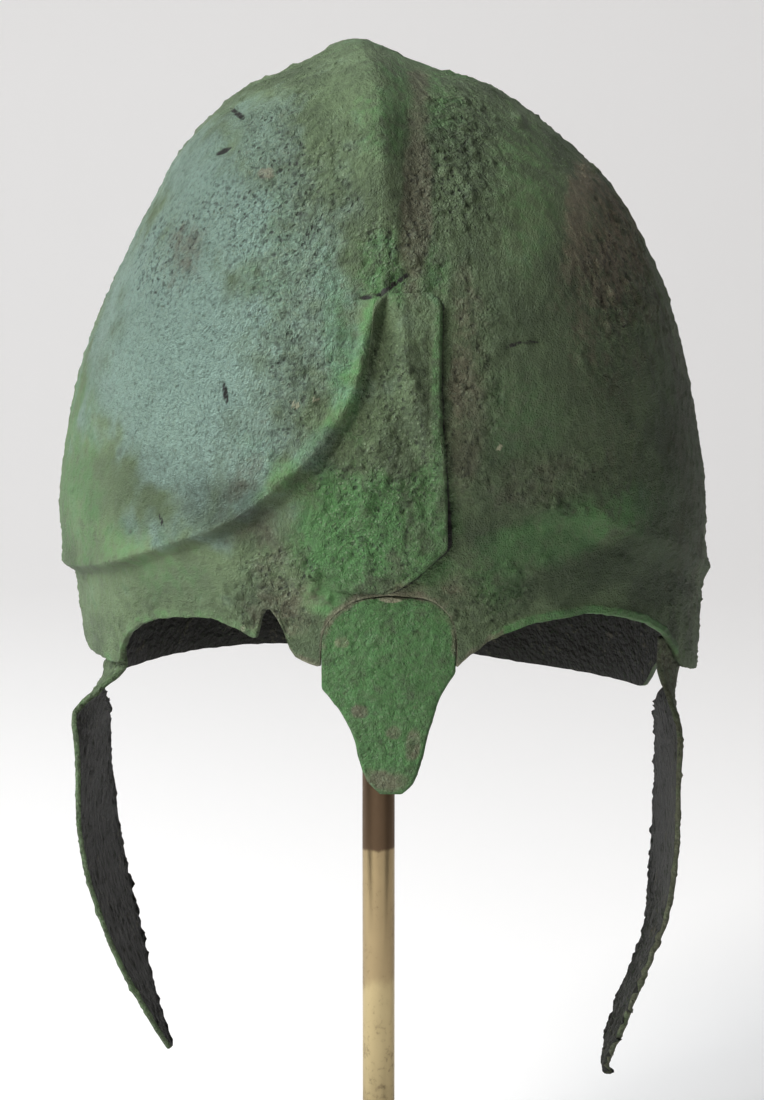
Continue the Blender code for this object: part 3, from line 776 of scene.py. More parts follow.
def along_cut(points, cut):
    """Nearness to a cut's line and to its groove from 0 to 1, and the groove's depth."""
    x, y, z = np.moveaxis(points, -1, 0)
    x0, z0, x1, z1, half, depth = cut
    length = math.hypot(x1 - x0, z1 - z0)
    along = ((x - x0) * (x1 - x0) + (z - z0) * (z1 - z0)) / length**2
    along = np.clip(along, 0, 1)
    away = np.hypot(x - x0 - along * (x1 - x0), z - z0 - along * (z1 - z0))
    taper = (0.85 + 0.15 * np.sin(math.pi * along)) * (y < 0)
    line = np.clip(1 - away / (4 * half), 0, 1)
    groove = np.exp(-((away / (1.5 * half)) ** 2))
    return line * taper, groove * taper, 0.7 * depth


def crust_at(points, zones, look):
    """Height of the crust at points, both in millimetres, and its cuts and hollows."""
    stretched = points * (1, 1, 2.1)
    coarse, sleek = zones["crust"], zones["sleek"]
    height = 1.1 * (layered(points, 16, 41, 3) - 0.5)
    height = height + (0.35 + 0.4 * coarse) * (layered(points, 4.6, 47, 3) - 0.5)
    calm = 1 - 0.65 * zones["blue"]
    lumps = humps(points, 3.2, 61) * (0.25 + 0.75 * coarse) * calm
    small = humps(stretched, 2.3, 71) * (0.55 - 0.45 * sleek) * calm
    pits = humps(points, 2.9, 81, 0.2, 0.5) * (0.25 + 0.75 * coarse)
    pits = pits * (1 - 0.8 * sleek)
    detail = 1000 * (look.crust * (lumps + 0.55 * small) - look.pits * pits)
    height = height + detail
    slit = np.zeros_like(height)
    for row in CUTS:
        line, groove, depth = along_cut(points, row)
        height = height - groove * depth
        slit = np.maximum(slit, line)
    x, y, z = np.moveaxis(points, -1, 0)
    for across, up, radius, rise in LUMPS:
        away = np.hypot(x - across, z - up) / radius
        height = height + rise * np.exp(-(away**2)) * (y < 0)
    hollow = np.clip(0.5 - 0.8 * detail, 0, 1)
    return height, {"cut": np.zeros_like(slit), "slit": slit, "hollow": hollow}


def strengthen(zones, name, values):
    """Raises a zone to at least these values."""
    zones[name] = np.maximum(zones[name], values)


class Socket:
    """A node's output, with sums that add the Math nodes they need."""

    def __init__(self, finish, link):
        self.finish = finish
        self.link = link

    def sum(self, operation, first, second):
        return self.finish.node(
            "ShaderNodeMath", {"operation": operation}, {0: first, 1: second}
        )

    def __add__(self, other):
        return self.sum("ADD", self, other)

    def __radd__(self, other):
        return self.sum("ADD", other, self)

    def __sub__(self, other):
        return self.sum("SUBTRACT", self, other)

    def __rsub__(self, other):
        return self.sum("SUBTRACT", other, self)

    def __mul__(self, other):
        return self.sum("MULTIPLY", self, other)

    def __rmul__(self, other):
        return self.sum("MULTIPLY", other, self)


class Finish:
    """A material, and the nodes that give it its colour, gloss and grain."""

    def __init__(self, name, **constants):
        self.material = bpy.data.materials.new(name)
        self.material.use_nodes = True
        self.tree = self.material.node_tree
        self.shader = self.tree.nodes["Principled BSDF"]
        for socket, value in constants.items():
            self.shader.inputs[socket.replace("_", " ")].default_value = value

    def node(self, kind, settings, inputs, output=0):
        """Adds a node, sets it, fills its sockets and gives back one of its outputs."""
        node = self.tree.nodes.new(kind)
        for name, value in settings.items():
            setattr(node, name, value)
        for name, value in inputs.items():
            if isinstance(value, Socket):
                self.tree.links.new(value.link, node.inputs[name])
            else:
                node.inputs[name].default_value = value
        return Socket(self, node.outputs[output])

    def millimetres(self, stretch=(1, 1, 1)):
        """The place on the piece in millimetres, closer together where stretched."""
        place = self.node("ShaderNodeTexCoord", {}, {}, "Object")
        scale = tuple(1000 * share for share in stretch)
        return self.node(
            "ShaderNodeVectorMath", {"operation": "MULTIPLY"}, {0: place, 1: scale}
        )

    def noise(self, size, detail=3.0, roughness=0.55, stretch=(1, 1, 1), twist=0.0):
        """Cloudy noise from 0 to 1 with blots of about this size in millimetres."""
        return self.node(
            "ShaderNodeTexNoise",
            {"noise_dimensions": "3D"},
            {
                "Vector": self.millimetres(stretch),
                "Scale": 1 / size,
                "Detail": detail,
                "Roughness": roughness,
                "Distortion": twist,
            },
        )

    def cells(self, size, warp=0.35):
        """Distance to the nearest of scattered points, in uneven cells of this size."""
        bend = self.node(
            "ShaderNodeTexNoise",
            {"noise_dimensions": "3D"},
            {"Vector": self.millimetres(), "Scale": 1.3 / size, "Detail": 2.0},
            "Color",
        )
        pull = self.node(
            "ShaderNodeVectorMath",
            {"operation": "SCALE"},
            {0: bend, "Scale": warp * size},
        )
        place = self.node(
            "ShaderNodeVectorMath", {"operation": "ADD"}, {0: self.millimetres(), 1: pull}
        )
        return self.node(
            "ShaderNodeTexVoronoi", {"feature": "F1"}, {"Vector": place, "Scale": 1 / size}
        )

    def zone(self, name):
        """A zone that the piece's points carry."""
        return self.node("ShaderNodeAttribute", {"attribute_name": name}, {}, "Fac")

    def step(self, value, low, high):
        """0 where a value is below low, 1 where it is above high, smooth between."""
        return self.node(
            "ShaderNodeMapRange",
            {"interpolation_type": "SMOOTHSTEP"},
            {"Value": value, "From Min": low, "From Max": high},
        )

    def mix(self, first, second, share):
        """One colour laid over another."""
        return self.node(
            "ShaderNodeMix",
            {"data_type": "RGBA"},
            {0: share, 6: opaque(first), 7: opaque(second)},
            2,
        )

    def wear(self, colour=None, roughness=None, bump=None, **others):
        """Links what changes over the surface. The bump's height is in millimetres."""
        others.update({"Base_Color": colour, "Roughness": roughness})
        if bump is not None:
            others["Normal"] = self.node(
                "ShaderNodeBump", {}, {"Height": bump, "Distance": 0.001}
            )
        for name, value in others.items():
            if value is not None:
                socket = self.shader.inputs[name.replace("_", " ")]
                self.tree.links.new(value.link, socket)
        return self.material


def opaque(colour):
    """A colour with its opacity, or a linked one as it is."""
    return colour if isinstance(colour, Socket) else (*colour, 1)


def patina(name, look):
    """Corroded bronze: greens by zone, dirt in crevices, painted reflection and shade, gritty
    grain.
    """
    finish = Finish(name, Specular_IOR_Level=0.5)
    crust, sleek = finish.zone("crust"), finish.zone("sleek")
    blue, bright, brown = finish.zone("blue"), finish.zone("bright"), finish.zone("brown")
    pale, cut, hollow = finish.zone("pale"), finish.zone("cut"), finish.zone("hollow")
    rose, shade, slit = finish.zone("rose"), finish.zone("shade"), finish.zone("slit")
    broad = finish.noise(17, 3) - 0.5
    blots = finish.noise(4.8, 3, 0.55) - 0.5
    flecks = finish.noise(2.6, 4, 0.66) - 0.5
    specks = finish.noise(1.2, 4, 0.7) - 0.5
    grains = finish.noise(0.5, 2, 0.6) - 0.5
    nodules = finish.cells(1.3, warp=0.6)
    pebbles = finish.cells(2.9, warp=0.6)
    lumpy = finish.step(blots + 0.3 * flecks + 0.2 * crust, 0.02, 0.2)
    coarse = 0.35 + 0.65 * crust
    share = 1 - 0.7 * sleek
    tone = finish.step(1.5 * broad + 1.0 * blots + 0.6 * flecks, -0.4, 0.4)
    colour = finish.mix(look.deep, look.green, tone)
    fresh = finish.step(bright + 1.4 * blots + 1.2 * flecks, 0.1, 1.05)
    colour = finish.mix(colour, look.bright, fresh)
    # The blue zone paints the window's reflection on the left flank over a bluish patina, with
    # specks as painted glints, and there it also lowers the roughness.
    gloss_and_painted_sheen = finish.step(blue + 0.8 * broad + 0.6 * blots, 0.05, 1.05)
    colour = finish.mix(colour, look.painted_sheen, gloss_and_painted_sheen * (0.75 + 0.7 * specks))
    # Painted shade in the creases between the painted highlights of the left flank.
    painted_crease_shade = finish.step(0 - specks - 0.3 * grains, 0.02, 0.2) * gloss_and_painted_sheen
    colour = finish.mix(colour, look.dark_patina_and_shade, painted_crease_shade * 0.42)
    earthy = finish.step(brown + 0.2 * crust + 1.8 * blots + 1.4 * flecks, 0.2, 1.3)
    colour = finish.mix(colour, look.brown, earthy * 0.8)
    rosy = finish.step(rose + 1.6 * flecks + 0.9 * blots, 0.2, 1.2)
    colour = finish.mix(colour, look.rose, rosy * 0.7)
    spread = finish.step(blots + 0.6 * flecks + 0.35 * crust, -0.1, 0.25) * coarse * share
    crests = (1 - finish.step(nodules, 0.12, 0.42)) * spread
    colour = finish.mix(colour, look.grey, crests * 0.4)
    pocks = (1 - finish.step(finish.cells(2.2, warp=0.8), 0.12, 0.34)) * spread
    crevices = finish.step(nodules - 0.5 * flecks, 0.55, 0.85) * coarse * share
    # Soil and painted shade darken the hollows of the crust.
    soil_and_shade_in_hollows = finish.step(hollow - 0.9 * specks - 0.6 * flecks, 0.52, 0.95) * share
    colour = finish.mix(colour, look.soil_and_painted_shade, soil_and_shade_in_hollows * 0.35)
    colour = finish.mix(colour, look.soil_and_painted_shade, crevices * (0.25 + 0.3 * crust))
    colour = finish.mix(colour, look.soil_and_painted_shade, pocks * (0.15 + 0.7 * crust))
    # Painted shade from the shade zone, in the dark green.
    painted_shade_share = finish.step(shade + 1.0 * blots + 0.8 * flecks, 0.1, 1.0)
    colour = finish.mix(colour, look.dark_patina_and_shade, painted_shade_share * 0.65)
    # Painted shade in the seams round the nasal and a painted shadow beside the forehead
    # plate, carried by the cut zone.
    colour = finish.mix(colour, look.soil_and_painted_shade, finish.step(cut + 0.9 * specks, 0.2, 0.75))
    colour = finish.mix(colour, look.soil_and_painted_shade, finish.step(slit + 0.16 * specks, 0.70, 0.84))
    colour = finish.mix(colour, look.pale, finish.step(pale + 0.6 * grains, 0.45, 0.85))
    rough = 0.68 + 0.1 * crust - 0.06 * sleek - 0.26 * gloss_and_painted_sheen + 0.3 * flecks
    bump = 1.6 * flecks + 2.1 * specks + 1.2 * grains
    bump = bump + crests * 0.7 - pocks * (0.4 + 1.2 * crust)
    bump = bump - pebbles * lumpy * (0.6 + 2.2 * crust)
    bump = bump * share + (1.0 * flecks + 5.0 * specks + 2.6 * grains) * gloss_and_painted_sheen
    return finish.wear(colour, rough, bump * (1000 * look.grit))


def inner_crust(name, look):
    """The dark, lumpy crust inside the bowl and on the backs of the cheek pieces."""
    finish = Finish(name, Specular_IOR_Level=0.3)
    blots = finish.noise(6.5, 4, 0.6)
    specks = finish.noise(1.6, 4, 0.65)
    grains = finish.cells(1.3)
    lumps = finish.cells(3.4)
    colour = finish.mix(look.soil_and_painted_shade, look.inside, finish.step(blots, 0.35, 0.65))
    colour = finish.mix(colour, look.dark_patina_and_shade, finish.step(specks, 0.5, 0.7) * 0.7)
    colour = finish.mix(colour, look.brown, finish.step(specks * blots, 0.3, 0.42) * 0.35)
    bump = (specks - 0.5) * 2.2 + (blots - 0.5) * 1.2 - lumps * 1.6 - grains * 0.9
    return finish.wear(colour, 0.66 + 0.3 * (specks - 0.5), bump)


def make_piece(name, points, faces, zones, materials, slots=None):
    """A mesh in the scene, on its body, with its zones and its materials."""
    mesh = bpy.data.meshes.new(name)
    mesh.from_pydata(points.reshape(-1, 3).tolist(), [], faces)
    for zone, values in zones.items():
        attribute = mesh.attributes.new(zone, "FLOAT", "POINT")
        attribute.data.foreach_set("value", np.ascontiguousarray(values, np.float32).ravel())
    for material in materials:
        mesh.materials.append(material)
    if slots is not None:
        mesh.polygons.foreach_set("material_index", np.asarray(slots, np.int32))
    mesh.shade_smooth()
    mesh.update()
    piece = bpy.data.objects.new(name, mesh)
    bpy.context.scene.collection.objects.link(piece)
    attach(piece, "root")
    return piece


def keep_inside(points, node):
    """Holds a piece's points inside the box of the node that it stands for."""
    low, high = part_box(node)
    return np.clip(points, np.array(low), np.array(high))


def set_on_stand(points):
    """Moves points from the helmet's own place to where it sits on the stand."""
    return points + (HELMET_SHIFT, 0, BROW_HEIGHT)


def loop_faces(rows, columns):
    """The quads of a grid that closes round on itself."""
    row = np.arange(rows - 1)[:, None] * columns
    here, there = np.arange(columns), (np.arange(columns) + 1) % columns
    quads = np.stack([row + here, row + there, row + columns + there, row + columns + here])
    return np.moveaxis(quads, 0, -1).reshape(-1, 4).tolist()


def upper_angles():
    """The columns of the skull's wall, closer together over the face."""
    face = np.concatenate([np.linspace(0, 14, 34), np.linspace(14, 74, 106)[1:]])
    temple = np.linspace(74, 112, 44)[1:]
    behind = np.linspace(112, 180, 42)[1:]
    side = np.concatenate([face, temple, behind])
    return np.concatenate([-side[::-1][:-1], side[:-1]])


def row_guide(angles):
    """The height that the skull's rows follow: the brow line without its steep peak."""
    away = (np.abs(angles) ** 4 + 10.0**4) ** 0.25
    right = ease(-8, 8, angles)
    return brow_height(-away) * (1 - right) + brow_height(away) * right


def skull_places(angles):
    """The angle and station of every point from the lower edge up to the apex."""
    edge_angle, edge_height = rim(angles)
    ragged = layered(np.stack([angles * 1.7, angles * 0, angles * 0], -1), 2.4, 11) - 0.5
    edge_height = edge_height + ragged * 0.0014 * (np.abs(angles) > SEAT_ANGLE)
    line = row_guide(angles)
    beside = np.concatenate([np.linspace(-3.6, -1.8, 4), np.linspace(-1.5, 3.2, 14)])
    beside = beside / 1000
    turned, heights = [], []
    for share in np.linspace(0, 1, 52)[:-1] ** 1.15:
        turned.append(edge_angle + (angles - edge_angle) * share)
        heights.append(edge_height + (line + beside[0] - edge_height) * share)
    for offset in beside:
        turned.append(angles)
        heights.append(line + offset)
    stations = [station_at(height) for height in heights]
    start = stations[-1]
    for share in np.linspace(0, 1, 118)[1:-1]:
        turned.append(angles)
        stations.append(start + (TOP_STATION - start) * share)
    return np.array(turned), np.array(stations)


def skull_surface(angle, station, look):
    """The face without crust, its normal, the crust's height in metres, and its zones."""
    smooth = smooth_skull(angle, station)
    normal = outward(angle, station)
    rise = relief(angle, station, look.bead_fall)
    formed = smooth + normal * rise[..., None]
    zones = zones_at(formed * 1000)
    crust, marks = crust_at(formed * 1000, zones, look)
    return formed, normal, crust / 1000, {**zones, **marks}


def painted_plate_shadow(points):
    """1 in the painted shadow line along the forehead plate's right edge, 0 elsewhere."""
    x, y, z = np.moveaxis(points, -1, 0)
    share = (z - NASAL_RISE - PLATE_FOOT_GAP) / PLATE_HEIGHT
    right = follow(PLATE_OUTLINE, share, 2) * PLATE_HALF_WIDTH
    line = np.exp(-(((x - right - 0.0004) / 0.0010) ** 2))
    return line * (y < 0) * (share > 0) * (share < 1)


def mark_skull(zones, formed, angle, station, edge):
    """Sets the zones along the arches, cord and seats, with painted shade by the nasal and
    plate; returns the strip.
    """
    arch = (np.abs(angle) > SEAT_ANGLE) & (np.abs(angle) < ARCH_END)
    strip = (1 - ease(0.0018, 0.0028, edge)) * arch * np.where(angle > 0, 1, 0.5)
    on_cord = cord(angle, above_brow(angle, smooth_skull(angle, station)[..., 2]))
    for name, cord_share in (("bright", 0.65), ("sleek", 0.7)):
        strengthen(zones, name, 0.7 * strip)
        strengthen(zones, name, cord_share * on_cord)
    zones["brown"] = zones["brown"] * (1 - 0.8 * on_cord)
    # Painted shade in the crack of the nasal's seat, carried by the cut zone.
    seat = 0.35 * (1 - ease(0.0001, 0.0008, edge)) * (np.abs(angle) < SEAT_ANGLE + 1)
    filler = (1 - ease(0.0003, 0.0016, edge)) * (np.abs(angle + 1) < SEAT_ANGLE - 3)
    crusted = (1 - ease(0.0010, 0.0030, edge)) * (np.abs(angle) < SEAT_ANGLE + 2)
    strengthen(zones, "pale", 0.66 * filler)
    strengthen(zones, "brown", 0.8 * crusted)
    strengthen(zones, "cut", seat)
    # Painted shadow along the plate's right edge.
    strengthen(zones, "cut", painted_plate_shadow(formed))
    return strip


def skull_inside(formed, normal):
    """The bowl's inner face, from the crown down to the edge, on fewer rows."""
    rows = np.unique(np.linspace(0, len(formed) - 1, 24).astype(int))[::-1]
    inner = (formed - normal * WALL)[rows]
    lumps = layered(inner * 1000, 7, 91) + humps(inner * 1000, 6, 95)
    return inner - normal[rows] * (0.0004 * lumps)[..., None]


def skull_faces(inner_rows, rows, columns):
    """The faces of the skull's grid and of its two crowns, and their materials."""
    faces = loop_faces(rows, columns)
    slots = [1] * (inner_rows - 1) * columns
    slots += [0] * (len(faces) - len(slots))
    here = np.arange(columns)
    there = (here + 1) % columns
    last = (rows - 1) * columns
    under, over = rows * columns, rows * columns + 1
    faces += np.stack([there, here, here * 0 + under], -1).tolist()
    faces += np.stack([last + here, last + there, here * 0 + over], -1).tolist()
    return faces, slots + [1] * columns + [0] * columns


def make_skull(look):
    """The bowl, brow band, temples and neck guard, beaten from one sheet."""
    angle, station = skull_places(upper_angles())
    formed, normal, crust, zones = skull_surface(angle, station, look)
    steps = np.diff(formed, axis=0, prepend=formed[:1])
    edge = np.cumsum(np.linalg.norm(steps, axis=-1), axis=0)
    strip = mark_skull(zones, formed, angle, station, edge)
    rise = crust * (0.25 + 0.75 * ease(0, 0.0012, edge)) + look.lip * strip
    outer = formed + normal * rise[..., None]
    inner = skull_inside(formed, normal)
    lip = (outer[0] + inner[-1]) / 2 - (0, 0, 0.0003)
    top = np.array([0.0]), np.array([TOP_STATION - 1e-4])
    apex, apex_normal, apex_crust, _ = skull_surface(*top, look)
    crown = apex + apex_normal * apex_crust[..., None]
    under_crown = apex - apex_normal * WALL
    grid = np.concatenate([inner, lip[None], outer])
    points = np.concatenate([grid.reshape(-1, 3), under_crown, crown])
    columns = angle.shape[1]
    faces, slots = skull_faces(len(inner), len(grid), columns)
    carried = {}
    for name, values in zones.items():
        inner_values = np.zeros((len(inner) + 1, columns))
        inner_values[-1] = values[0]
        ends = [0.0, values[-1].mean()]
        carried[name] = np.concatenate([inner_values.ravel(), values.ravel(), ends])
    points = keep_inside(set_on_stand(points), "skull")
    materials = [patina("skull_patina", look), inner_crust("skull_inside", look)]
    piece = make_piece("skull_bronze", points, faces, carried, materials, slots)
    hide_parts("skull")
    return piece


def wrap(outer, inner):
    """Closes two faces of a sheet with rounded sides and flat ends."""
    rows, columns, _ = outer.shape
    thickness = np.linalg.norm(outer - inner, axis=-1, keepdims=True)
    lips = []
    for end, beside in ((-1, -2), (0, 1)):
        away = outer[:, end] - outer[:, beside]
        away = away / np.linalg.norm(away, axis=-1, keepdims=True)
        middle = (outer[:, end] + inner[:, end]) / 2
        lips.append(middle + away * 0.35 * thickness[:, end])
    loops = np.concatenate(
        [outer, lips[0][:, None], inner[:, ::-1], lips[1][:, None]], axis=1
    )
    around = 2 * columns + 2
    faces = loop_faces(rows, around)
    for start, flip in ((0, True), ((rows - 1) * around, False)):
        ends = []
        for i in range(columns - 1):
            back = 2 * columns - i
            ends.append([start + i, start + i + 1, start + back - 1, start + back])
        ends.append([start, start + 2 * columns, start + 2 * columns + 1])
        ends.append([start + columns - 1, start + columns, start + columns + 1])
        for face in ends:
            faces.append(face[::-1] if flip else face)
    of_row = [0] * (columns + 1) + [1] * (columns - 1) + [0, 0]
    slots = of_row * (rows - 1)
    slots += [0] * (len(faces) - len(slots))
    return loops, faces, slots


def wrap_zones(zones):
    """A sheet's zones for both of its faces and its rounded sides."""
    carried = {}
    for name, values in zones.items():
        sides = [values, values[:, -1:], values[:, ::-1], values[:, :1]]
        carried[name] = np.concatenate(sides, axis=1)
    return carried


def in_seat(height):
    """1 where the nasal is held in its seat, 0 on its free blade."""
    return ease(-0.013, -0.009, height)


def nasal_row(height, columns):
    """The angles across the nasal at one height, between its slightly ragged sides."""
    jag = swell(np.array([[1000 * height, 0, 0], [1000 * height, 9, 0]]), 1.5, 15)
    jag = (jag * 0.0006 - 0.0001) * in_seat(height)
    left, right = nasal_edge(height, -1) - jag[0], nasal_edge(height, 1) + jag[1]
    across = np.linspace(left, right, columns)
    return angle_across(across, station_at(np.full(columns, height)))


def make_nasal(look):
    """The nose guard, set edge to edge into the brow."""
    columns = 58
    tip = NASAL_RISE - NASAL_LENGTH
    heights = NASAL_RISE - NASAL_LENGTH * np.linspace(0, 1, 78) ** 1.25
    heights = np.maximum(heights, tip)[::-1]
    angle = np.array([nasal_row(height, columns) for height in heights])
    station = station_at(np.repeat(heights[:, None], columns, axis=1))
    formed, normal, crust, zones = skull_surface(angle, station, look)
    x, height = formed[..., 0], formed[..., 2]
    gap = np.minimum(x - x[:, :1], x[:, -1:] - x)
    # Painted shade along the nasal's sides in its seat, carried by the cut zone.
    strengthen(zones, "cut", 0.4 * (1 - ease(0.0, 0.0007, gap)) * in_seat(height))
    strengthen(zones, "brown", 0.8 * (1 - ease(0.0006, 0.0020, gap)) * in_seat(height))
    zones["bright"] = np.clip(zones["bright"] * 0.5 + 0.8, 0, 1)
    zones["crust"] = np.full_like(gap, 0.42)
    zones["sleek"] = np.zeros_like(gap)
    outer = formed + normal * (crust * 0.8)[..., None]
    inner = formed - normal * NASAL_THICKNESS
    points, faces, slots = wrap(outer, inner)
    points = keep_inside(set_on_stand(points), "nasal")
    carried = wrap_zones(zones)
    materials = [patina("nasal_patina", look), inner_crust("nasal_inside", look)]
    piece = make_piece("nasal_bronze", points, faces, carried, materials, slots)
    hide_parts("nasal")
    return piece


def make_plate(look):
    """The torn sheet over the forehead, proud on its right and sunk in on its left."""
    shares = np.linspace(0, 1, 92)
    columns = 56
    left = follow(PLATE_OUTLINE, shares, 1) * PLATE_HALF_WIDTH
    right = follow(PLATE_OUTLINE, shares, 2) * PLATE_HALF_WIDTH
    across = np.linspace(left, right, columns, axis=1)
    height = (NASAL_RISE + PLATE_FOOT_GAP + shares * PLATE_HEIGHT)[:, None] + 0 * across
    station = station_at(height)
    angle = angle_across(across, station)
    smooth = smooth_skull(angle, station)
    normal = outward(angle, station)
    rise = relief(angle, station, look.bead_fall)
    share_across = np.linspace(0, 1, columns)[None, :]
    proud = PLATE_GAP + PLATE_THICKNESS
    lift = PLATE_SUNK + (proud - PLATE_SUNK) * ease(0.0, 0.55, share_across)
    lift = lift * (0.8 + 0.2 * ease(0, 0.1, shares)[:, None])
    border = ease(0.86, 0.93, share_across) * ease(0.1, 0.2, shares)[:, None]
    formed = smooth + normal * (rise + lift + 0.0004 * border)[..., None]
    zones = zones_at(formed * 1000)
    strengthen(zones, "bright", 0.5 * border)
    crust, marks = crust_at(formed * 1000, zones, look)
    zones.update(marks)
    outer = formed + normal * (crust / 1000)[..., None]
    inner = smooth + normal * (rise - 0.0006)[..., None]
    points, faces, slots = wrap(outer, inner)
    points = keep_inside(set_on_stand(points), "forehead_plate")
    carried = wrap_zones(zones)
    materials = [patina("plate_patina", look), inner_crust("plate_inside", look)]
    piece = make_piece("forehead_plate_bronze", points, faces, carried, materials, slots)
    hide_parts("forehead_plate")
    return piece


def temple_inside(y, height, side, look):
    """The inner face of the temple at y: how far it stands from the middle plane."""
    angles = np.linspace(20, 89, 140)
    station = station_at(np.full_like(angles, height))
    point = smooth_skull(side * angles, station)
    rise = relief(side * angles, station, look.bead_fall) - WALL - LAP_GAP
    face = point + outward(side * angles, station) * rise[..., None]
    return np.interp(y, face[:, 1], np.abs(face[:, 0]))


def cheek_grid(table, length, side, across, look):
    """The middle of a cheek piece's sheet, tip first, with its blade's edges frayed."""
    straight = temple_inside(CHEEK_PLACE, -CHEEK_TOP, side, look)
    grid = []
    for drop in np.concatenate([np.linspace(0, 0.3, 46), np.linspace(0.3, 1, 104)[1:]]):
        row = [follow(table, drop, column) for column in range(1, 7)]
        front, back, front_spread, back_spread, hug, sag = row
        y = CHEEK_PLACE + (front + (back - front) * across) * CHEEK_DEPTH
        z = -CHEEK_TOP - (drop + sag * across) * length
        spread = front_spread + (back_spread - front_spread) * across
        following = temple_inside(y, -CHEEK_TOP - drop * length, side, look)
        x = side * (hug * following + (1 - hug) * straight + spread * CHEEK_SPREAD)
        grid.append(np.stack([x, y, z], axis=-1))
    grid = np.array(grid)[::-1]
    frayed = layered(grid * 1000, 2.2, 57, 3) - 0.5
    loose = grid[..., 2] < BLADE_TOP
    low_end = ease(-0.085, -0.105, grid[..., 2]) if side > 0 else 0.0
    edges = ease(0.9, 1.0, across) + low_end * ease(0.2, 0.0, across)
    grid[..., 1] += 0.0036 * frayed * loose * edges
    grid[..., 2] += 0.0018 * frayed * loose * edges
    grid[..., 0] += 0.0030 * frayed * low_end
    return grid


def cheek_zones(points, share, ragged, side):
    """A cheek piece's zones: the left one has green edges, the right one is brown, with more
    painted shade.
    """
    zones = zones_at(points)
    on_left = 1.0 if side < 0 else 0.0
    for zone in ("pale", "blue", "rose", "sleek"):
        zones[zone] = np.zeros_like(ragged)
    edge = 1 - ease(0.02, 0.07, share)
    zones["crust"] = 0.6 + 0.4 * ragged
    zones["bright"] = on_left * np.maximum(0.3 * edge, 0.3 * zones["bright"])
    # Painted shade, stronger on the right piece.
    zones["shade"] = 0.4 * layered(points, 7, 27) + 0.3 * (1 - on_left)
    strengthen(zones, "brown", 0.75 - 0.65 * on_left)
    return zones


def make_cheek_piece(name, table, length, side, look):
    """A cheek piece: its neck laps inside the temple, and its blade hangs below."""
    share = np.linspace(0, 1, 64)
    grid = cheek_grid(table, length, side, share, look)
    if side < 0:
        grid, share = grid[:, ::-1], share[::-1]
    normal = np.cross(np.gradient(grid, axis=1), np.gradient(grid, axis=0))
    normal = normal / np.linalg.norm(normal, axis=-1, keepdims=True)
    ragged = ease(0.80, 1.0, share) * (grid[..., 2] < BLADE_TOP)
    points = grid * 1000
    zones = cheek_zones(points, share, ragged, side)
    crust, marks = crust_at(points, zones, look)
    zones.update(marks)
    torn = humps(points, 2.6, 33) * 0.0011 + humps(points, 5.2, 37) * 0.0008
    outer = grid + normal * (crust * 0.0005)[..., None]
    inner = grid - normal * (CHEEK_THICKNESS + torn * ragged)[..., None]
    inner = inner - normal * (0.0005 * humps(points, 3.4, 43))[..., None]
    loops, faces, slots = wrap(outer, inner)
    loops = keep_inside(set_on_stand(loops), name)
    carried = wrap_zones(zones)
    materials = [patina(name + "_patina", look), inner_crust(name + "_inside", look)]
    piece = make_piece(name + "_bronze", loops, faces, carried, materials, slots)
    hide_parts(name)
    return piece


def brass(name, look):
    """Worn brass rod: brown tarnish above, straw stains, then cleaner metal."""
    finish = Finish(name, Metallic=1.0)
    place = finish.node("ShaderNodeTexCoord", {}, {}, "Object")
    height = finish.node("ShaderNodeSeparateXYZ", {}, {0: place}, "Z")
    blots = finish.noise(7, 4, 0.6, (1, 1, 0.5))
    specks = finish.noise(1.5, 4, 0.6)
    drawn = finish.noise(0.6, 3, 0.5, (1, 1, 0.05))
    ragged = height + (blots - 0.5) * 0.004
    browned = finish.step(ragged, look.tarnish_line - 0.0006, look.tarnish_line + 0.0006)
    stained = finish.step(ragged, look.stain_line - 0.012, look.stain_line + 0.004)
    colour = finish.mix(look.brass, look.straw, finish.step(stained + blots, 0.6, 1.3))
    colour = finish.mix(colour, look.tarnish, browned)
    spots = finish.step(specks * 0.6 + blots * 0.5, 0.58, 0.78) * 0.6
    colour = finish.mix(colour, look.tarnish, spots)
    rough = 0.3 + 0.16 * browned + 0.25 * (blots - 0.4) + 0.1 * specks
    bump = (drawn - 0.5) * 0.02 + (specks - 0.5) * 0.03
    return finish.wear(colour, rough, bump)


def lacquered_wood(name, look):
    """Dark satin wood with a faint grain along the base."""
    finish = Finish(name)
    rings = finish.noise(9, 4, 0.6, (0.12, 1, 1), 0.8)
    pores = finish.noise(0.9, 3, 0.6, (0.05, 1, 1))
    light = tuple(min(1, share * 2.2 + 0.004) for share in look.lacquer)
    colour = finish.mix(look.lacquer, light, finish.step(rings, 0.4, 0.7))
    rough = 0.34 + 0.25 * (rings - 0.4) + 0.12 * (pores - 0.5)
    bump = (pores - 0.5) * 0.08 + (rings - 0.5) * 0.05
    return finish.wear(colour, rough, bump)


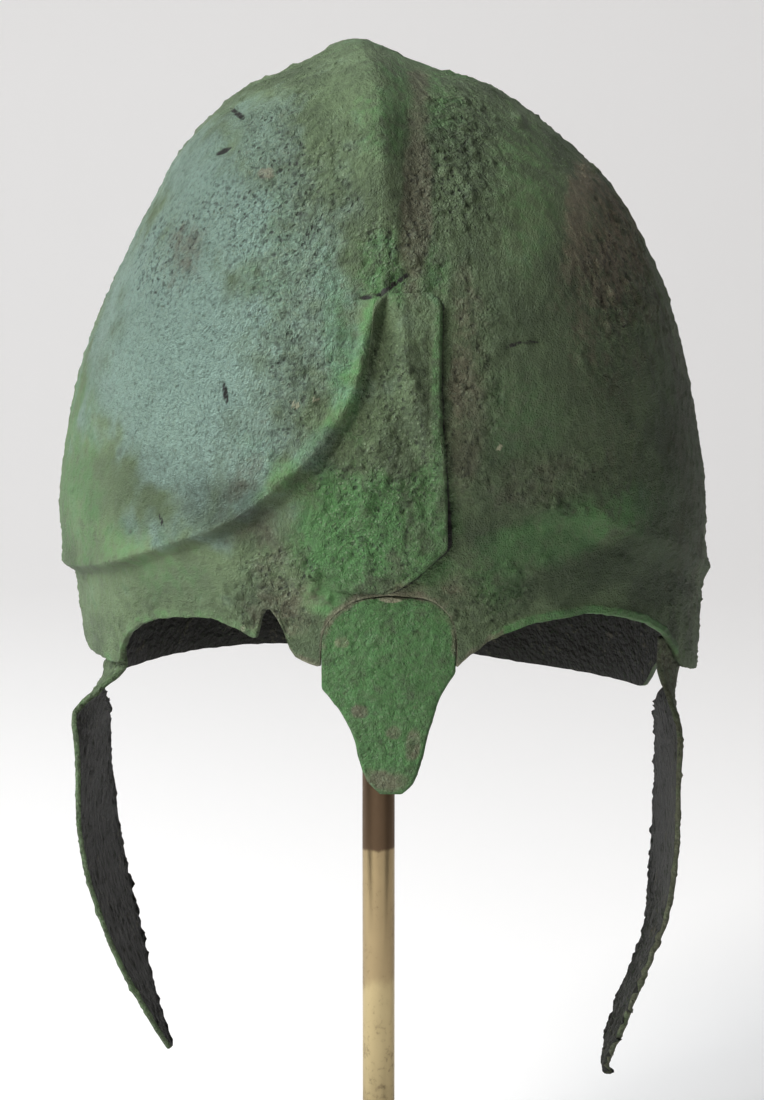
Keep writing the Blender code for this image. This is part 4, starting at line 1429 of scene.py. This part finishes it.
def make_rod(look):
    """The brass rod, turned with eased ends and a hand-worn, not quite true side."""
    low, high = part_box("rod")
    ease_size = 0.0006
    steps = np.linspace(low.z + ease_size, high.z - ease_size, 160)
    radius = ROD_DIAMETER / 2
    heights = np.concatenate([[low.z], steps, [high.z]])
    radii = np.full(len(heights), radius)
    radii[0] = radii[-1] = radius - ease_size
    turns = np.linspace(0, math.tau, 73)[:-1]
    x = np.outer(radii, np.cos(turns))
    y = np.outer(radii, np.sin(turns))
    z = np.repeat(heights[:, None], len(turns), axis=1)
    grid = np.stack([x, y, z], axis=-1)
    worn = 0.00006 * layered(grid * 1000 * (1, 1, 0.3), 4, 5)
    grid[..., :2] *= (1 - worn / radius)[..., None]
    faces = loop_faces(len(heights), len(turns))
    faces.append(list(range(len(turns)))[::-1])
    last = (len(heights) - 1) * len(turns)
    faces.append(list(range(last, last + len(turns))))
    piece = make_piece("rod_brass", grid, faces, {}, [brass("rod_metal", look)])
    piece.data.set_sharp_from_angle(angle=math.radians(40))
    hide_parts("rod")
    return piece


def finish_stand(look):
    """The rod, and the finishes of the rest and the base."""
    make_rod(look)
    made = {"crown_rest": brass("rest_metal", look), "base": lacquered_wood("base_wood", look)}
    for name, material in made.items():
        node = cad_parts[name]
        node.data.materials.clear()
        node.data.materials.append(material)


def area_light(name, place, aim, width, height, power, colour):
    """A soft light that faces its aim."""
    lamp = bpy.data.lights.new(name, "AREA")
    lamp.shape = "RECTANGLE"
    lamp.size, lamp.size_y = width, height
    lamp.energy = power
    lamp.color = colour
    holder = bpy.data.objects.new(name, lamp)
    holder.location = place
    facing = Vector(aim) - Vector(place)
    holder.rotation_euler = facing.to_track_quat("-Z", "Y").to_euler()
    bpy.context.scene.collection.objects.link(holder)


def make_camera():
    """The photo's view: ten degrees down onto the brow."""
    camera = bpy.data.cameras.new("camera")
    camera.sensor_width = SENSOR_WIDTH
    camera.lens = SENSOR_WIDTH * FOCAL_PIXELS / PHOTO_HEIGHT
    eye = bpy.data.objects.new("camera", camera)
    pitch = math.radians(CAMERA_PITCH)
    back = Vector((0, -math.cos(pitch), math.sin(pitch))) * CAMERA_DISTANCE
    eye.location = Vector(CAMERA_AIM) + back
    eye.rotation_euler = Euler((math.pi / 2 - pitch, 0, 0))
    bpy.context.scene.collection.objects.link(eye)
    bpy.context.scene.camera = eye


def light_room(look):
    """Soft lights from the left, the front and above, and a faint light all round."""
    aim = (0, 0, 0.3)
    area_light("window", (-1.2, -0.3, 1.15), aim, 0.8, 1.0, look.window, (0.86, 0.95, 1))
    area_light("front", (-1.08, -1.02, 1.36), aim, 0.6, 0.6, look.front, (1, 0.98, 0.94))
    area_light("overhead", (-0.4, 0.1, 1.6), aim, 1.0, 1.0, look.overhead, (1, 1, 1))
    world = bpy.data.worlds.new("room")
    world.use_nodes = True
    background = world.node_tree.nodes["Background"]
    background.inputs["Color"].default_value = (1, 1, 1, 1)
    background.inputs["Strength"].default_value = look.room
    bpy.context.scene.world = world


def backdrop_paper(look):
    """Glowing pale paper whose painted falloff of light darkens it softly with height."""
    finish = Finish("backdrop_paper", Roughness=0.9)
    height = finish.node("ShaderNodeSeparateXYZ", {}, {"Vector": finish.millimetres()}, 2)
    # Painted falloff of light: the paper darkens towards the top.
    fall = finish.step(height + 60 * finish.noise(500, 1), 350, 1050)
    painted_falloff_colour = tuple(0.68 * share for share in look.backdrop)
    paper = finish.mix(look.backdrop, painted_falloff_colour, fall)
    finish.shader.inputs["Emission Strength"].default_value = look.glow
    return finish.wear(paper, Emission_Color=paper)


def make_backdrop(look):
    """A floor that bends up into a wall behind the stand."""
    front, start, bend, top, half_width = -2.4, 1.2, 1.0, 3.2, 3.4
    profile = [(front, 0.0), (start, 0.0)]
    for turn in np.linspace(0, math.pi / 2, 17)[1:]:
        profile.append((start + bend * math.sin(turn), bend - bend * math.cos(turn)))
    profile.append((start + bend, top))
    points = [(x, y, z) for y, z in profile for x in (-half_width, half_width)]
    faces = [(2 * i, 2 * i + 1, 2 * i + 3, 2 * i + 2) for i in range(len(profile) - 1)]
    mesh = bpy.data.meshes.new("backdrop")
    mesh.from_pydata(points, [], faces)
    mesh.shade_smooth()
    mesh.materials.append(backdrop_paper(look))
    backdrop = bpy.data.objects.new("backdrop", mesh)
    bpy.context.scene.collection.objects.link(backdrop)


def make_studio(look):
    """Camera, soft light from the left and front, pale floor and curved backdrop."""
    bpy.context.scene.view_settings.view_transform = "Standard"
    make_camera()
    light_room(look)
    make_backdrop(look)


class HELMET_OT_skull(bpy.types.Operator):
    """Make the bowl with its brow band, temples and neck guard"""

    bl_idname = "helmet.skull"
    bl_label = "Skull"

    def execute(self, context):
        make_skull(context.scene.bronze_look)
        return {"FINISHED"}


class HELMET_OT_nasal(bpy.types.Operator):
    """Make the nose guard"""

    bl_idname = "helmet.nasal"
    bl_label = "Nasal"

    def execute(self, context):
        make_nasal(context.scene.bronze_look)
        return {"FINISHED"}


class HELMET_OT_forehead_plate(bpy.types.Operator):
    """Make the torn plate over the forehead"""

    bl_idname = "helmet.forehead_plate"
    bl_label = "Forehead plate"

    def execute(self, context):
        make_plate(context.scene.bronze_look)
        return {"FINISHED"}


class HELMET_OT_cheek_pieces(bpy.types.Operator):
    """Make both cheek pieces"""

    bl_idname = "helmet.cheek_pieces"
    bl_label = "Cheek pieces"

    def execute(self, context):
        look = context.scene.bronze_look
        make_cheek_piece("cheek_piece_left", CHEEK_LEFT, LEFT_CHEEK_LENGTH, -1, look)
        make_cheek_piece("cheek_piece_right", CHEEK_RIGHT, RIGHT_CHEEK_LENGTH, 1, look)
        return {"FINISHED"}


class HELMET_OT_stand(bpy.types.Operator):
    """Make the rod and finish the rest and the base"""

    bl_idname = "helmet.stand"
    bl_label = "Stand"

    def execute(self, context):
        finish_stand(context.scene.stand_look)
        return {"FINISHED"}


class HELMET_OT_studio(bpy.types.Operator):
    """Set up the camera, the lights and the backdrop"""

    bl_idname = "helmet.studio"
    bl_label = "Studio"

    def execute(self, context):
        make_studio(context.scene.studio_look)
        return {"FINISHED"}


class HELMET_PT_pieces(bpy.types.Panel):
    """Lists the pieces and what can be changed about them"""

    bl_idname = "HELMET_PT_pieces"
    bl_label = "Helmet"
    bl_space_type = "VIEW_3D"
    bl_region_type = "UI"
    bl_category = "Helmet"

    def draw(self, context):
        for name, (group, operators) in SECTIONS_OF_PANEL.items():
            box = self.layout.box()
            box.label(text=name)
            look = getattr(context.scene, group)
            for field in look.bl_rna.properties.keys():
                if field not in ("rna_type", "name"):
                    box.prop(look, field)
            for operator in operators:
                box.operator(operator.bl_idname)


SECTIONS_OF_PANEL = {
    "Bronze": (
        "bronze_look",
        (
            HELMET_OT_skull,
            HELMET_OT_nasal,
            HELMET_OT_forehead_plate,
            HELMET_OT_cheek_pieces,
        ),
    ),
    "Stand": ("stand_look", (HELMET_OT_stand,)),
    "Studio": ("studio_look", (HELMET_OT_studio,)),
}
LOOKS = {"bronze_look": BronzeLook, "stand_look": StandLook, "studio_look": StudioLook}
CLASSES = (
    BronzeLook,
    StandLook,
    StudioLook,
    HELMET_OT_skull,
    HELMET_OT_nasal,
    HELMET_OT_forehead_plate,
    HELMET_OT_cheek_pieces,
    HELMET_OT_stand,
    HELMET_OT_studio,
    HELMET_PT_pieces,
)


def register():
    for kind in CLASSES:
        bpy.utils.register_class(kind)
    for name, look in LOOKS.items():
        setattr(bpy.types.Scene, name, PointerProperty(type=look))


def unregister():
    for name in LOOKS:
        delattr(bpy.types.Scene, name)
    for kind in reversed(CLASSES):
        bpy.utils.unregister_class(kind)


def main():
    """Makes every piece in order."""
    register()
    bpy.ops.helmet.studio()
    bpy.ops.helmet.skull()
    bpy.ops.helmet.nasal()
    bpy.ops.helmet.forehead_plate()
    bpy.ops.helmet.cheek_pieces()
    bpy.ops.helmet.stand()


if __name__ == "__main__":
    main()
